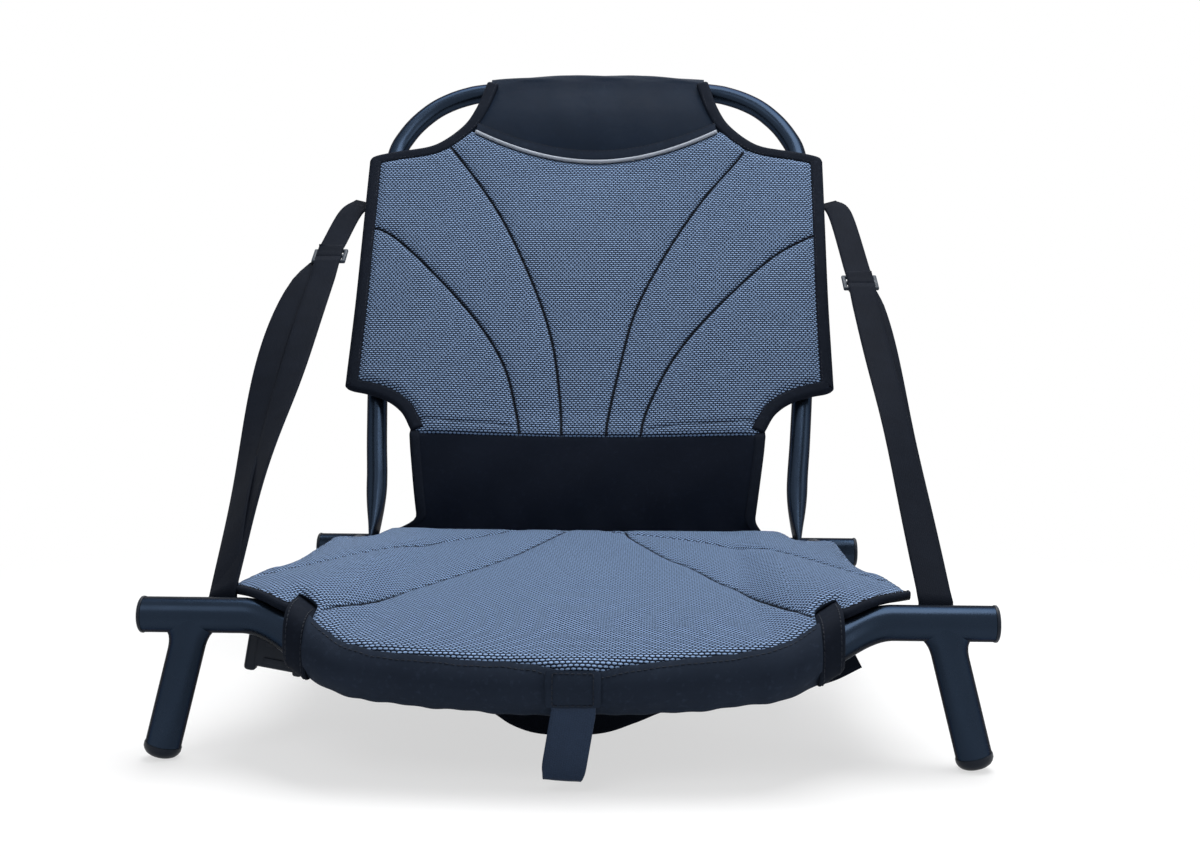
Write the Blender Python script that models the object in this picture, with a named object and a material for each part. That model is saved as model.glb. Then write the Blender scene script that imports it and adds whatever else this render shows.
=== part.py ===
"""Frame kayak seat: a bent tube base on four splayed legs and a folding tube backrest with a padded sling.

Metres. +Z up, the sitter faces -Y, +X is to the right in a view from the front.
The origin lies on the ground, midway between the two sides and midway between the seat's front and back.
"""

import math

import bmesh
import bpy
import numpy as np
from mathutils import Matrix, Vector

# Frame tubes and their clearances
BAR_R = 0.0127  # crossbars, rails and legs
HOOP_R = 0.009525
GAP = 0.0003  # between pieces that touch
CLOTH = 0.0025  # sleeve cloth with its lining
AXIS_Z = 0.1034  # height of the crossbars' axes

# Base, y counted from the straight ends of the front crossbar
Y_TIP = -0.26159
TIP_X = 0.2995
REAR_Y = Y_TIP + 0.330
REAR_X = 0.2455
RAIL_X = 0.209
BOW_START_X, BOW_LENGTH = 0.230, 0.095
BOW_FORWARD, CROWN_FORWARD = 0.046, 0.010
BOW_DROP, CROWN_DROP = 0.029, 0.007
CROWN_X = 0.135
LEG_TOP_X, LEG_FOOT_X = 0.264, 0.2905
REAR_LEG_INSET = 0.037  # leg axis inside the rear crossbar's end
LEG_FLARE = 0.0032  # weld fillet under the crossbars
PLUG_DEPTH = 0.014
PLUG_RIM = 0.0032
FOOT_H = 0.0075

# Backrest: lean, hinge line, and the hoop's centreline as (x, distance from the hinge line)
LEAN = math.radians(32.4)
HINGE_Y, HINGE_Z = Y_TIP + 0.291, AXIS_Z
HOOP_LINE = [(0.1923, -0.0005), (0.1923, 0.0150), (0.1922, 0.035), (0.1940, 0.075), (0.1985, 0.122), (0.2045, 0.200),
             (0.2095, 0.300), (0.2120, 0.400), (0.2112, 0.430), (0.2075, 0.4600), (0.2000, 0.4790),
             (0.1890, 0.4970), (0.1730, 0.5145), (0.1565, 0.5258), (0.1395, 0.5333), (0.1230, 0.5375),
             (0.0800, 0.5428), (0.0400, 0.5452), (0.0, 0.5460)]
TAB_HALF_T, TAB_HALF_W = 0.0021, 0.0130
FLAT_END, ROUND_START = 0.013, 0.072
BOLT_R = 0.0030
BOLT_HOLE_R = BOLT_R + 0.00008
NUT_R = 0.0062

# Sling
PANEL_T = 0.0075
BINDING_W = 0.012
BINDING_T = 0.0065
SEAM = 0.0021  # between the panel and its binding, piping and strip
SIDE_SLEEVE = (0.176, 0.430)
SIDE_OUTER_R = HOOP_R + GAP + 0.0015
PANEL_OFF = SIDE_OUTER_R + GAP + PANEL_T / 2  # middle of the panel in front of the hoop's axes
SAG = 0.010
MESH_BOTTOM = 0.1155
BACK_EDGE = [(0.1640, 0.1180), (0.1665, 0.1235), (0.1750, 0.1385), (0.1895, 0.1500), (0.2080, 0.1570),
             (0.2230, 0.1605), (0.2296, 0.1650), (0.2302, 0.1740), (0.2300, 0.2600), (0.2312, 0.3500),
             (0.2322, 0.4240), (0.2318, 0.4350), (0.2260, 0.4405), (0.2050, 0.4460), (0.1880, 0.4490),
             (0.1740, 0.4522), (0.1620, 0.4580), (0.1480, 0.4700), (0.1355, 0.4850), (0.1270, 0.5030),
             (0.1215, 0.5210), (0.1170, 0.5385)]
PIPE_X, PIPE_END, PIPE_MID = 0.121, 0.4690, 0.4370
PIPE_R = 0.0019
TAB_TOP_X = 0.1165
STRIP_X, STRIP_T = 0.157, 0.0045
CREASE_Y, CREASE_Z = Y_TIP + 0.3175, 0.1235

# Seat panel
SEAT_T = 0.005
SEAT_SIDE_Z = 0.1222  # middle of the panel over the side rails
SEAT_EDGE = [(0.020, 0.2450), (0.040, 0.2415), (0.092, 0.2350), (0.125, 0.2235), (0.160, 0.2215),
             (0.240, 0.2255), (0.312, 0.2265)]
REAR_Y_MID, REAR_Y_NOTCH, REAR_Y_SIDE = 0.312, 0.262, 0.300
NOTCH_IN, NOTCH_OUT = (0.743, 0.788), (0.903, 0.932)
HEM_X = 0.1725
TAPER_X, WRAP_X = 0.132, 0.1620  # the mesh rolls over the bar up to here
HEM_ANGLE = math.radians(43)
HEM_R = BAR_R + 2 * GAP + CLOTH
BAND_X = (0.1745, 0.1915)
BAND_R = HEM_R + 0.0022
ROLL_CLEAR = 0.0012  # the mesh panel clears the faceted hem sleeve
BAND_SLANT = 0.011  # the bent bar leans the band back by this much at its inner end
LOBE_IN = (0.194, -0.018)
LOBE_TIP = (0.245, 0.020)
EDGE_W, EDGE_T = 0.007, 0.006
RAIL_SLEEVE = (0.055, 0.250)

# Webbing
WEB_W, WEB_T = 0.025, 0.0014
STRAP_TOP = (0.2363, 0.395, -0.003)  # x, distance from the hinge line, offset from the hoop's plane
STRAP_CLEAR = (0.2478, 0.374, 0.0075)  # where it passes the binding
ANCHOR_X = 0.2575
SCREW_R = 0.0020
GLIDE_AT = {"left": 0.185, "right": 0.263}  # fraction of the way from the top end to the anchor
GLIDE_X = 0.2545
GLIDE_W, GLIDE_L, GLIDE_T = 0.033, 0.023, 0.0036
GLIDE_SLOT = 0.0052  # slot centre from the middle bar
LOOP_W, LOOP_T = 0.030, 0.0016
LOOP_X = 0.0065
LOOP_LOW_Z = 0.0078
TENSION_Y = Y_TIP + 0.020

SIDES = (("left", -1.0), ("right", 1.0))

for old in list(bpy.data.objects):
    bpy.data.objects.remove(old, do_unlink=True)

parts = bpy.data.collections.new("kayak_seat")
tools = bpy.data.collections.new("cutters")
bpy.context.scene.collection.children.link(parts)
bpy.context.scene.collection.children.link(tools)


def material(name, color, roughness, metallic=0.0):
    mat = bpy.data.materials.new(name)
    mat.use_nodes = True
    shader = mat.node_tree.nodes["Principled BSDF"]
    shader.inputs["Base Color"].default_value = (*color, 1.0)
    shader.inputs["Roughness"].default_value = roughness
    shader.inputs["Metallic"].default_value = metallic
    mat.diffuse_color = (*color, 1.0)
    return mat


MATS = {
    "tube": material("tube", (0.030, 0.045, 0.075), 0.38, 0.35),
    "plug": material("plug", (0.012, 0.016, 0.024), 0.5),
    "steel": material("steel", (0.10, 0.11, 0.13), 0.35, 1.0),
    "mesh": material("mesh", (0.135, 0.205, 0.320), 0.85),
    "black_cloth": material("black_cloth", (0.008, 0.010, 0.016), 0.7),
    "satin": material("satin", (0.010, 0.014, 0.026), 0.5),
    "tape": material("tape", (0.010, 0.012, 0.019), 0.75),
    "pipe": material("pipe", (0.42, 0.45, 0.50), 0.6),
    "web": material("web", (0.010, 0.013, 0.022), 0.7),
    "buckle": material("buckle", (0.020, 0.026, 0.036), 0.45),
}


def add(name, bm, mat, smooth=True):
    """Object from a bmesh with its faces turned outwards."""
    bmesh.ops.recalc_face_normals(bm, faces=bm.faces)
    mesh = bpy.data.meshes.new(name)
    bm.to_mesh(mesh)
    bm.free()
    for poly in mesh.polygons:
        poly.use_smooth = smooth
    obj = bpy.data.objects.new(name, mesh)
    obj.data.materials.append(MATS[mat])
    parts.objects.link(obj)
    return obj


def loft(rings, closed=False):
    """bmesh through rings of equal point counts; the ends are capped unless the loft is closed."""
    bm = bmesh.new()
    loops = [[bm.verts.new(p) for p in ring] for ring in rings]
    pairs = list(zip(loops, loops[1:]))
    if closed:
        pairs.append((loops[-1], loops[0]))
    for a, b in pairs:
        n = len(a)
        for i in range(n):
            bm.faces.new((a[i], a[(i + 1) % n], b[(i + 1) % n], b[i]))
    if not closed:
        bm.faces.new(loops[0])
        bm.faces.new(list(reversed(loops[-1])))
    return bm


def unit(v):
    v = np.asarray(v, float)
    return v / np.linalg.norm(v)


def tangents(path):
    path = np.asarray(path, float)
    t = np.gradient(path, axis=0)
    return t / np.linalg.norm(t, axis=1)[:, None]


def ring(centre, side, up, a, b, n, power=1.0):
    """Closed section with half sizes a along side and b along up; a power under 1 squares it."""
    out = []
    for k in range(n):
        c, s = math.cos(2 * math.pi * k / n), math.sin(2 * math.pi * k / n)
        c = math.copysign(abs(c) ** power, c)
        s = math.copysign(abs(s) ** power, s)
        out.append(tuple(np.asarray(centre) + a * c * np.asarray(side) + b * s * np.asarray(up)))
    return out


def tube_rings(path, radius, n, up=(0, 0, 1)):
    """Round sections square to a path that keeps roughly clear of the up direction."""
    rings = []
    for p, t in zip(np.asarray(path, float), tangents(path)):
        side = unit(np.cross(t, up))
        rings.append(ring(p, side, np.cross(side, t), radius, radius, n))
    return rings


def sleeve(path, inner, outer, n, up=(0, 0, 1)):
    """Open-ended sleeve along a path."""
    return loft(tube_rings(path, outer, n, up) + tube_rings(path, inner, n, up)[::-1], closed=True)


def spline(points, n):
    """n points evenly spaced along a smooth curve through the given ones."""
    p = np.asarray(points, float)
    p = np.vstack([2 * p[0] - p[1], p, 2 * p[-1] - p[-2]])
    dense = []
    for i in range(1, len(p) - 2):
        for t in np.linspace(0, 1, 12, endpoint=i == len(p) - 3):
            a, b, c, d = p[i - 1:i + 3]
            dense.append(0.5 * (2 * b + (c - a) * t + (2 * a - 5 * b + 4 * c - d) * t ** 2
                                + (3 * b - a - 3 * c + d) * t ** 3))
    dense = np.array(dense)
    run = np.concatenate([[0], np.cumsum(np.linalg.norm(np.diff(dense, axis=0), axis=1))])
    at = np.linspace(0, run[-1], n)
    return np.stack([np.interp(at, run, dense[:, k]) for k in range(p.shape[1])], axis=1)


def sheet(grid, thickness, across=None):
    """Closed sheet around a grid of middle points, thickened square to its rows, and to across where it is given."""
    grid = np.asarray(grid, float)
    rows_go = np.gradient(grid, axis=0) if across is None else np.broadcast_to(across, grid.shape)
    normal = np.cross(rows_go, np.gradient(grid, axis=1))
    normal /= np.linalg.norm(normal, axis=2)[:, :, None]
    rows, cols = grid.shape[:2]
    bm = bmesh.new()
    layers = []
    for side in (0.5, -0.5):
        layer = grid + normal * thickness * side
        layers.append([[bm.verts.new(layer[i, j]) for j in range(cols)] for i in range(rows)])
    for k, layer in enumerate(layers):
        for i in range(rows - 1):
            for j in range(cols - 1):
                face = [layer[i][j], layer[i + 1][j], layer[i + 1][j + 1], layer[i][j + 1]]
                bm.faces.new(face if k == 0 else face[::-1])
    rim = ([(0, j) for j in range(cols)] + [(i, cols - 1) for i in range(1, rows)]
           + [(rows - 1, j) for j in range(cols - 2, -1, -1)] + [(i, 0) for i in range(rows - 2, 0, -1)])
    for (i, j), (k, m) in zip(rim, rim[1:] + rim[:1]):
        bm.faces.new((layers[0][i][j], layers[0][k][m], layers[1][k][m], layers[1][i][j]))
    return bm


def ribbon(path, across, width, thickness):
    """Flat webbing along a path; across gives the direction of its width at each point."""
    rings = []
    for p, t, w in zip(np.asarray(path, float), tangents(path), np.asarray(across, float)):
        w = unit(w - np.dot(w, t) * t)
        face = np.cross(t, w)
        rings.append([tuple(p + sx * w * width / 2 + sy * face * thickness / 2)
                      for sx, sy in ((-1, -1), (1, -1), (1, 1), (-1, 1))])
    return loft(rings)


def cylinder(start, end, radius, n, radius_end=None):
    axis = unit(np.subtract(end, start))
    side = unit(np.cross(axis, (0, 0, 1) if abs(axis[2]) < 0.9 else (0, 1, 0)))
    up = np.cross(side, axis)
    return loft([ring(start, side, up, radius, radius, n),
                 ring(end, side, up, radius_end or radius, radius_end or radius, n)])


def cut(obj, bm, name):
    """Takes a cutter's volume out of obj."""
    mesh = bpy.data.meshes.new(name)
    bmesh.ops.recalc_face_normals(bm, faces=bm.faces)
    bm.to_mesh(mesh)
    bm.free()
    cutter = bpy.data.objects.new(name, mesh)
    tools.objects.link(cutter)
    cutter.hide_render = True
    cutter.display_type = "WIRE"
    mod = obj.modifiers.new(name, "BOOLEAN")
    mod.operation = "DIFFERENCE"
    mod.solver = "EXACT"
    mod.object = cutter


def back_point(x, along, off):
    """Point of the backrest: across, up along its lean from the hinge line, and in front of the hoop's plane."""
    return (x, HINGE_Y + along * math.sin(LEAN) - off * math.cos(LEAN),
            HINGE_Z + along * math.cos(LEAN) + off * math.sin(LEAN))


def bar_axis(x):
    """Centreline of the bowed front crossbar."""
    t = min(max((BOW_START_X - abs(x)) / BOW_LENGTH, 0.0), 1.0)
    bend = 3 * t ** 2 - 2 * t ** 3
    crown = 1 - min(abs(x) / CROWN_X, 1.0) ** 2
    return (x, Y_TIP - BOW_FORWARD * bend - CROWN_FORWARD * crown,
            AXIS_Z - BOW_DROP * bend - CROWN_DROP * crown)


# Crossbars, their ends bored for the plugs
bar_x = np.concatenate([[-TIP_X], np.linspace(-BOW_START_X, BOW_START_X, 33), [TIP_X]])
front_bar = add("front_crossbar", loft(tube_rings([bar_axis(x) for x in bar_x], BAR_R, 16)), "tube")
rear_bar = add("rear_crossbar", cylinder((-REAR_X, REAR_Y, AXIS_Z), (REAR_X, REAR_Y, AXIS_Z), BAR_R, 20), "tube")
PLUG_R = BAR_R - 0.0016
for obj, end_x, y, name in ((front_bar, TIP_X, Y_TIP, "front"), (rear_bar, REAR_X, REAR_Y, "rear")):
    for label, sx in SIDES:
        mouth = sx * end_x
        bore = cylinder((mouth - sx * (PLUG_DEPTH + GAP), y, AXIS_Z), (mouth + sx * 0.01, y, AXIS_Z),
                        PLUG_R + GAP, 20)
        cut(obj, bore, f"{name}_bore_{label}")
        xs = [mouth - sx * PLUG_DEPTH, mouth + sx * GAP, mouth + sx * GAP, mouth + sx * PLUG_RIM * 0.65,
              mouth + sx * PLUG_RIM]
        radii = [PLUG_R, PLUG_R, BAR_R + 0.0004, BAR_R + 0.0004, BAR_R - 0.0016]
        rings = [ring((x, y, AXIS_Z), (0, sx, 0), (0, 0, 1), r, r, 20) for x, r in zip(xs, radii)]
        add(f"{name}_bar_plug_{label}", loft(rings), "plug")

# Side rails, coped round both crossbars and the rear legs, and drilled for the hinge bolts
REAR_LEG_X = REAR_X - REAR_LEG_INSET
SPLAY_X = LEG_FOOT_X - LEG_TOP_X
front_cope = loft(tube_rings([bar_axis(x) for x in bar_x], BAR_R + GAP, 16))
for label, sx in SIDES:
    rail = add(f"side_rail_{label}",
               cylinder((sx * RAIL_X, Y_TIP + 0.005, AXIS_Z), (sx * RAIL_X, REAR_Y, AXIS_Z), BAR_R - GAP, 20), "tube")
    cut(rail, front_cope.copy(), f"front_cope_{label}")
    cut(rail, cylinder((sx * 0.17, REAR_Y, AXIS_Z), (sx * 0.25, REAR_Y, AXIS_Z), BAR_R + GAP, 20), f"rear_cope_{label}")
    cut(rail, cylinder((sx * REAR_LEG_X, REAR_Y, AXIS_Z), (sx * (REAR_LEG_X + SPLAY_X * 0.5), REAR_Y, AXIS_Z * 0.5),
                       BAR_R + LEG_FLARE + GAP, 20), f"leg_cope_{label}")
    cut(rail, cylinder((sx * 0.18, HINGE_Y, HINGE_Z), (sx * 0.24, HINGE_Y, HINGE_Z), BOLT_HOLE_R, 16), f"bolt_hole_{label}")
front_cope.free()

# Legs: splayed sideways, flared where they meet the crossbars, with rounded feet
for row, y, top_x, foot_x in (("front", Y_TIP, LEG_TOP_X, LEG_FOOT_X),
                              ("rear", REAR_Y, REAR_LEG_X, REAR_LEG_X + SPLAY_X)):
    for label, sx in SIDES:
        top = np.array((sx * top_x, y, AXIS_Z))
        foot = np.array((sx * foot_x, y, 0.0))
        axis = unit(foot - top)
        side = np.array((0.0, 1.0, 0.0))
        up = np.cross(side, axis)
        length = np.linalg.norm(foot - top)
        splay = abs(axis[0]) / abs(axis[2])
        end = length - FOOT_H - BAR_R * splay
        stations = [(0.0, BAR_R - GAP), (BAR_R * 0.6, BAR_R), (BAR_R + 0.001, BAR_R + LEG_FLARE), (BAR_R + 0.005, BAR_R + 0.0012),
                    (BAR_R + 0.010, BAR_R), (end, BAR_R)]
        leg = add(f"{row}_leg_{label}", loft([ring(top + axis * s, side, up, r, r, 20) for s, r in stations]), "tube")
        cut(leg, cylinder((sx * (top_x - 0.05), y, AXIS_Z), (sx * (top_x + 0.05), y, AXIS_Z), BAR_R + GAP, 20),
            f"{row}_leg_cope_{label}")
        cut(leg, cylinder(top + axis * (end - PLUG_DEPTH - GAP), top + axis * (end + 0.01), PLUG_R + GAP, 20),
            f"{row}_leg_bore_{label}")
        rim = BAR_R + 0.0005
        rings = [ring(top + axis * (end + s), side, up, r, r, 20)
                 for s, r in ((-PLUG_DEPTH, PLUG_R), (GAP, PLUG_R), (GAP, rim), (0.0035, rim))]
        low = [np.array(p) for p in ring(top + axis * (end + FOOT_H), side, up, BAR_R - 0.003, BAR_R - 0.003, 20)]
        for p in low:
            p[2] = 0.0
        rings.append([tuple(p) for p in low])
        add(f"{row}_foot_{label}", loft(rings), "plug")

# Hinge bolts through the rails, washers between rail and hoop foot, lock nuts inboard
for label, sx in SIDES:
    face_in, face_out = RAIL_X - BAR_R, RAIL_X + BAR_R
    rings = [ring((sx * x, HINGE_Y, HINGE_Z), (0, sx, 0), (0, 0, 1), r, r, 16)
             for x, r in ((0.1815, BOLT_R), (face_out + GAP, BOLT_R), (face_out + GAP, 0.0068),
                          (face_out + 0.0022, 0.0064), (face_out + 0.0042, 0.0036))]
    add(f"hinge_bolt_{label}", loft(rings), "steel")
    washer_in, washer_out = 0.1947, face_in - GAP
    add(f"hinge_washer_{label}",
        sleeve([(sx * washer_in, HINGE_Y, HINGE_Z), (sx * washer_out, HINGE_Y, HINGE_Z)], BOLT_HOLE_R, 0.0082, 16),
        "plug")
    nut_out = HOOP_LINE[0][0] - TAB_HALF_T - GAP
    faces = []
    for x, radius in ((nut_out - 0.006, NUT_R), (nut_out, NUT_R), (nut_out, BOLT_HOLE_R), (nut_out - 0.006, BOLT_HOLE_R)):
        round_ring = np.array(ring((sx * x, HINGE_Y, HINGE_Z), (0, sx, 0), (0, 0, 1), radius, radius, 18))
        if radius == NUT_R:
            mid = np.array((sx * x, HINGE_Y, HINGE_Z))
            flat = [math.cos(math.pi / 6) / math.cos(math.radians(20 * (k % 3)) - math.pi / 6) for k in range(18)]
            round_ring = mid + (round_ring - mid) * np.array(flat)[:, None]
        faces.append([tuple(p) for p in round_ring])
    add(f"hinge_nut_{label}", loft(faces, closed=True), "steel", smooth=False)

# Backrest hoop with flattened, drilled feet
fine = spline(HOOP_LINE, 141)
half = np.vstack([fine[:18:2], fine[20::5]])
line = np.vstack([half, (half * (-1, 1))[-2::-1]])
line = np.vstack([(line[0][0], -TAB_HALF_W), (line[0][0], -TAB_HALF_W * 0.55), line,
                  (line[-1][0], -TAB_HALF_W * 0.55), (line[-1][0], -TAB_HALF_W)])
directions = tangents(line)
plane_n = np.array(back_point(0, 0, 1)) - np.array(back_point(0, 0, 0))
rings = []
for (x, along), (tx, ta) in zip(line, directions):
    t = min(max((along - FLAT_END) / (ROUND_START - FLAT_END), 0.0), 1.0)
    t = math.sin(t * math.pi / 2)
    a = TAB_HALF_T + (HOOP_R - TAB_HALF_T) * t
    b = TAB_HALF_W + (HOOP_R - TAB_HALF_W) * t
    if along < 0:
        b = math.sqrt(max(TAB_HALF_W ** 2 - along ** 2, 0.0)) + 0.002
    side = np.array(back_point(ta, -tx, 0)) - np.array(back_point(0, 0, 0))
    rings.append(ring(back_point(x, along, 0), unit(side), plane_n, a, b, 14, 0.55 + 0.45 * t))
hoop = add("backrest_hoop", loft(rings), "tube")
for label, sx in SIDES:
    cut(hoop, cylinder((sx * 0.18, HINGE_Y, HINGE_Z), (sx * 0.205, HINGE_Y, HINGE_Z), BOLT_HOLE_R, 16), f"foot_hole_{label}")


def sag(x, along):
    """How far the sling hangs back between the hoop's sides."""
    across = max(1 - (x / 0.190) ** 2, 0.0) ** 2
    low = min(max((along - 0.06) / 0.08, 0.0), 1.0)
    high = min(max((0.500 - along) / 0.080, 0.0), 1.0)
    return SAG * across * low * high


def panel_point(x, along, extra=0.0):
    return back_point(x, along, PANEL_OFF - sag(x, along) + extra)


def pipe_height(x):
    return PIPE_MID + (PIPE_END - PIPE_MID) * (x / PIPE_X) ** 2


edge = spline(BACK_EDGE, 64)
normals = tangents(edge)
inner = edge + np.stack([-normals[:, 1], normals[:, 0]], axis=1) * BINDING_W
keep = inner[:, 1] > MESH_BOTTOM + 0.002


def edge_at(x, low):
    """Height of the panel's inner outline at x: the lower branch, or the upper one."""
    cols = inner[keep]
    turn = int(np.argmax(cols[:, 0]))
    part = cols[:turn + 1] if low else cols[turn:][::-1]
    return float(np.interp(x, part[:, 0], part[:, 1]))


# Padded mesh panel, its outline set in from the binding
side_x = float(inner[:, 0].max()) - SEAM
low_x = float(inner[keep][0][0])
cols_half = np.concatenate([np.linspace(0, PIPE_X - BINDING_W, 6), np.linspace(0.120, side_x, 9)])
columns = np.concatenate([-cols_half[:0:-1], cols_half])
grid = []
for x in columns:
    ax = abs(x)
    low = MESH_BOTTOM if ax < low_x - SEAM else max(edge_at(ax, True) + SEAM, MESH_BOTTOM)
    high = edge_at(ax, False) - SEAM
    high = min(high, pipe_height(ax) - PIPE_R - SEAM) if ax < PIPE_X else high
    grid.append([panel_point(x, a) for a in np.linspace(low, high, 16)])
add("backrest_panel", sheet(grid, PANEL_T), "mesh")

# Binding tape on both sides, from the lower corner round the shoulder to the top
for label, sx in SIDES:
    strip = []
    for (ox, oa), (ix, ia) in zip(edge, inner):
        strip.append([panel_point(sx * (ox + (ix - ox) * k), oa + (ia - oa) * k) for k in (0.0, 0.5, 1.0)])
    add(f"backrest_binding_{label}", sheet(strip, BINDING_T), "tape")

# Piping along the curved seam under the top sleeve
pipe = [panel_point(x, pipe_height(x), 0.001) for x in np.linspace(-PIPE_X + 0.014, PIPE_X - 0.014, 25)]
add("piping", loft(tube_rings(pipe, PIPE_R, 8, plane_n)), "pipe")

# Top sleeve: up the front, over the arch and down the back
arch = spline(HOOP_LINE[-6:], 12)
SLEEVE_MID = HOOP_R + GAP + 0.0018
grid = []
for u in np.linspace(-1, 1, 19):
    profile = []
    x_top = u * (TAB_TOP_X - BINDING_W)
    apex = float(np.interp(abs(x_top), arch[::-1, 0], arch[::-1, 1]))
    x_low = u * (PIPE_X - BINDING_W - 0.001)
    start = pipe_height(x_low) + PIPE_R + GAP + 0.0005
    for k in np.linspace(0, 1, 8):
        along = start + (apex - start) * k
        off = (PANEL_OFF - sag(x_low, along)) * (1 - k) + SLEEVE_MID * k
        profile.append(back_point(x_low + (x_top - x_low) * k, along, off))
    for a in np.linspace(0.2, math.pi, 8):
        profile.append(back_point(x_top, apex + SLEEVE_MID * math.sin(a), SLEEVE_MID * math.cos(a)))
    profile.append(back_point(x_top, apex - 0.030, -SLEEVE_MID))
    profile.append(back_point(x_top * 1.02, apex - 0.060, -SLEEVE_MID))
    grid.append(profile)
add("top_sleeve", sheet(grid, 0.0034), "satin")

# Side sleeves that hold the sling to the hoop
for label, sx in SIDES:
    part = half[(half[:, 1] > SIDE_SLEEVE[0]) & (half[:, 1] < SIDE_SLEEVE[1])]
    path = [back_point(sx * x, a, 0) for x, a in part]
    add(f"side_sleeve_{label}", sleeve(path, HOOP_R + 2 * GAP, SIDE_OUTER_R + GAP, 14, plane_n), "black_cloth")

# Lumbar strip between the two panels
grid = []
top_in = MESH_BOTTOM - GAP * 3
for u in np.linspace(-1, 1, 13):
    row = []
    start = np.array(panel_point(u * STRIP_X, top_in))
    end = np.array((u * (STRIP_X + 0.002), CREASE_Y, CREASE_Z))
    for k in np.linspace(0, 1, 9):
        p = start + (end - start) * k
        p[1] -= 0.004 * math.sin(math.pi * k)
        row.append(tuple(p))
    grid.append(row)
add("lumbar_strip", sheet(grid, STRIP_T), "satin")


def stepped(u, values, steps):
    """Piecewise value of |u| that ramps between neighbouring values over the given spans."""
    u = abs(u)
    out = values[0]
    for (a, b), v in zip(steps, values[1:]):
        k = min(max((u - a) / (b - a), 0.0), 1.0)
        out = out + (v - out) * k
    return out


def seat_point(u, v):
    """Middle of the seat panel: u across, v from the back edge (0) to the front (1)."""
    xf = abs(u) * LOBE_TIP[0]
    y0 = stepped(u, (REAR_Y_MID, REAR_Y_NOTCH, REAR_Y_SIDE), (NOTCH_IN, NOTCH_OUT))
    yb, zb = bar_axis(xf)[1] - Y_TIP, bar_axis(xf)[2]
    roll_r = HEM_R + ROLL_CLEAR + SEAT_T / 2
    if xf <= WRAP_X:
        flat = 0.72
        y1, z1 = yb, zb + roll_r
        if v > flat:
            reach = 1 - max((xf - TAPER_X) / (WRAP_X - TAPER_X), 0.0)
            a = HEM_ANGLE * reach * (v - flat) / (1 - flat)
            return (math.copysign(xf, u), Y_TIP + yb - roll_r * math.sin(a), zb + roll_r * math.cos(a))
        k = v / flat
        power = 1 + 3 * max((xf - 0.13) / (WRAP_X - 0.13), 0.0) ** 2
    else:
        t = min(max((xf - LOBE_IN[0]) / (LOBE_TIP[0] - LOBE_IN[0]), 0.0), 1.0)
        y1 = LOBE_IN[1] + (LOBE_TIP[1] - LOBE_IN[1]) * t ** 1.5 + EDGE_W
        if xf < BAND_X[1] + 0.003:
            y1 = yb + BAND_R + BAND_SLANT
        z1 = zb + BAR_R + GAP + EDGE_T / 2 + 0.0022
        k = v
        power = 12.0
    y = y0 + (y1 - y0) * k
    z = SEAT_SIDE_Z + (z1 - SEAT_SIDE_Z) * k ** power
    width = float(np.interp(y, [e[0] for e in SEAT_EDGE], [e[1] for e in SEAT_EDGE]))
    x = abs(u) * width
    over = max(x - RAIL_X, 0.0)
    wrap = BAR_R + 2 * GAP + CLOTH + SEAT_T / 2
    curl = wrap - math.sqrt(max(wrap ** 2 - min(over, wrap * 0.93) ** 2, 0.0))
    near = min(max((y - 0.085) / 0.05, 0.0), 1.0)
    z -= curl * near + 0.003 * (over / 0.036) * (1 - near)
    return (math.copysign(x, u), Y_TIP + y, z)


marks = [0, 0.12, 0.24, 0.36, 0.48, 0.58, 0.62, 0.656, 0.668, 0.743, 0.788, 0.83, 0.868, 0.903, 0.932, 0.955, 0.978, 1.0]
us = [-m for m in marks[:0:-1]] + marks
vs = np.concatenate([np.linspace(0, 0.72, 13), np.linspace(0.78, 1, 5)])
add("seat_panel", sheet([[seat_point(u, v) for v in vs] for u in us], SEAT_T, (1.0, 0.0, 0.0)), "mesh")

# Hem sleeve round the bowed part of the front crossbar, with a tape band at each end
hem = [bar_axis(x) for x in bar_x if abs(x) < HEM_X + 0.001]
add("seat_front_hem", sleeve(hem, BAR_R + 2 * GAP, HEM_R, 16), "black_cloth")
for label, sx in SIDES:
    band = [bar_axis(sx * x) for x in np.linspace(*BAND_X, 4)]
    add(f"hem_band_{label}", sleeve(band, BAR_R + 2 * GAP, BAND_R, 16), "tape")
    rail = [(sx * RAIL_X, Y_TIP + y, AXIS_Z) for y in RAIL_SLEEVE]
    add(f"rail_sleeve_{label}", sleeve(rail, BAR_R + GAP, BAR_R + GAP + CLOTH, 20), "black_cloth")
    us_edge = np.linspace((LOBE_IN[0] + 0.0015) / LOBE_TIP[0], 1.0, 9)
    strip = []
    for u in us_edge:
        p = np.array(seat_point(sx * u, 1.0))
        strip.append([tuple(p + (0, -EDGE_W - GAP, -0.0004)), tuple(p + (0, -EDGE_W / 2, 0)), tuple(p + (0, -0.0012, 0))])
    add(f"lobe_binding_{label}", sheet(strip, EDGE_T), "tape")

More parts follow.
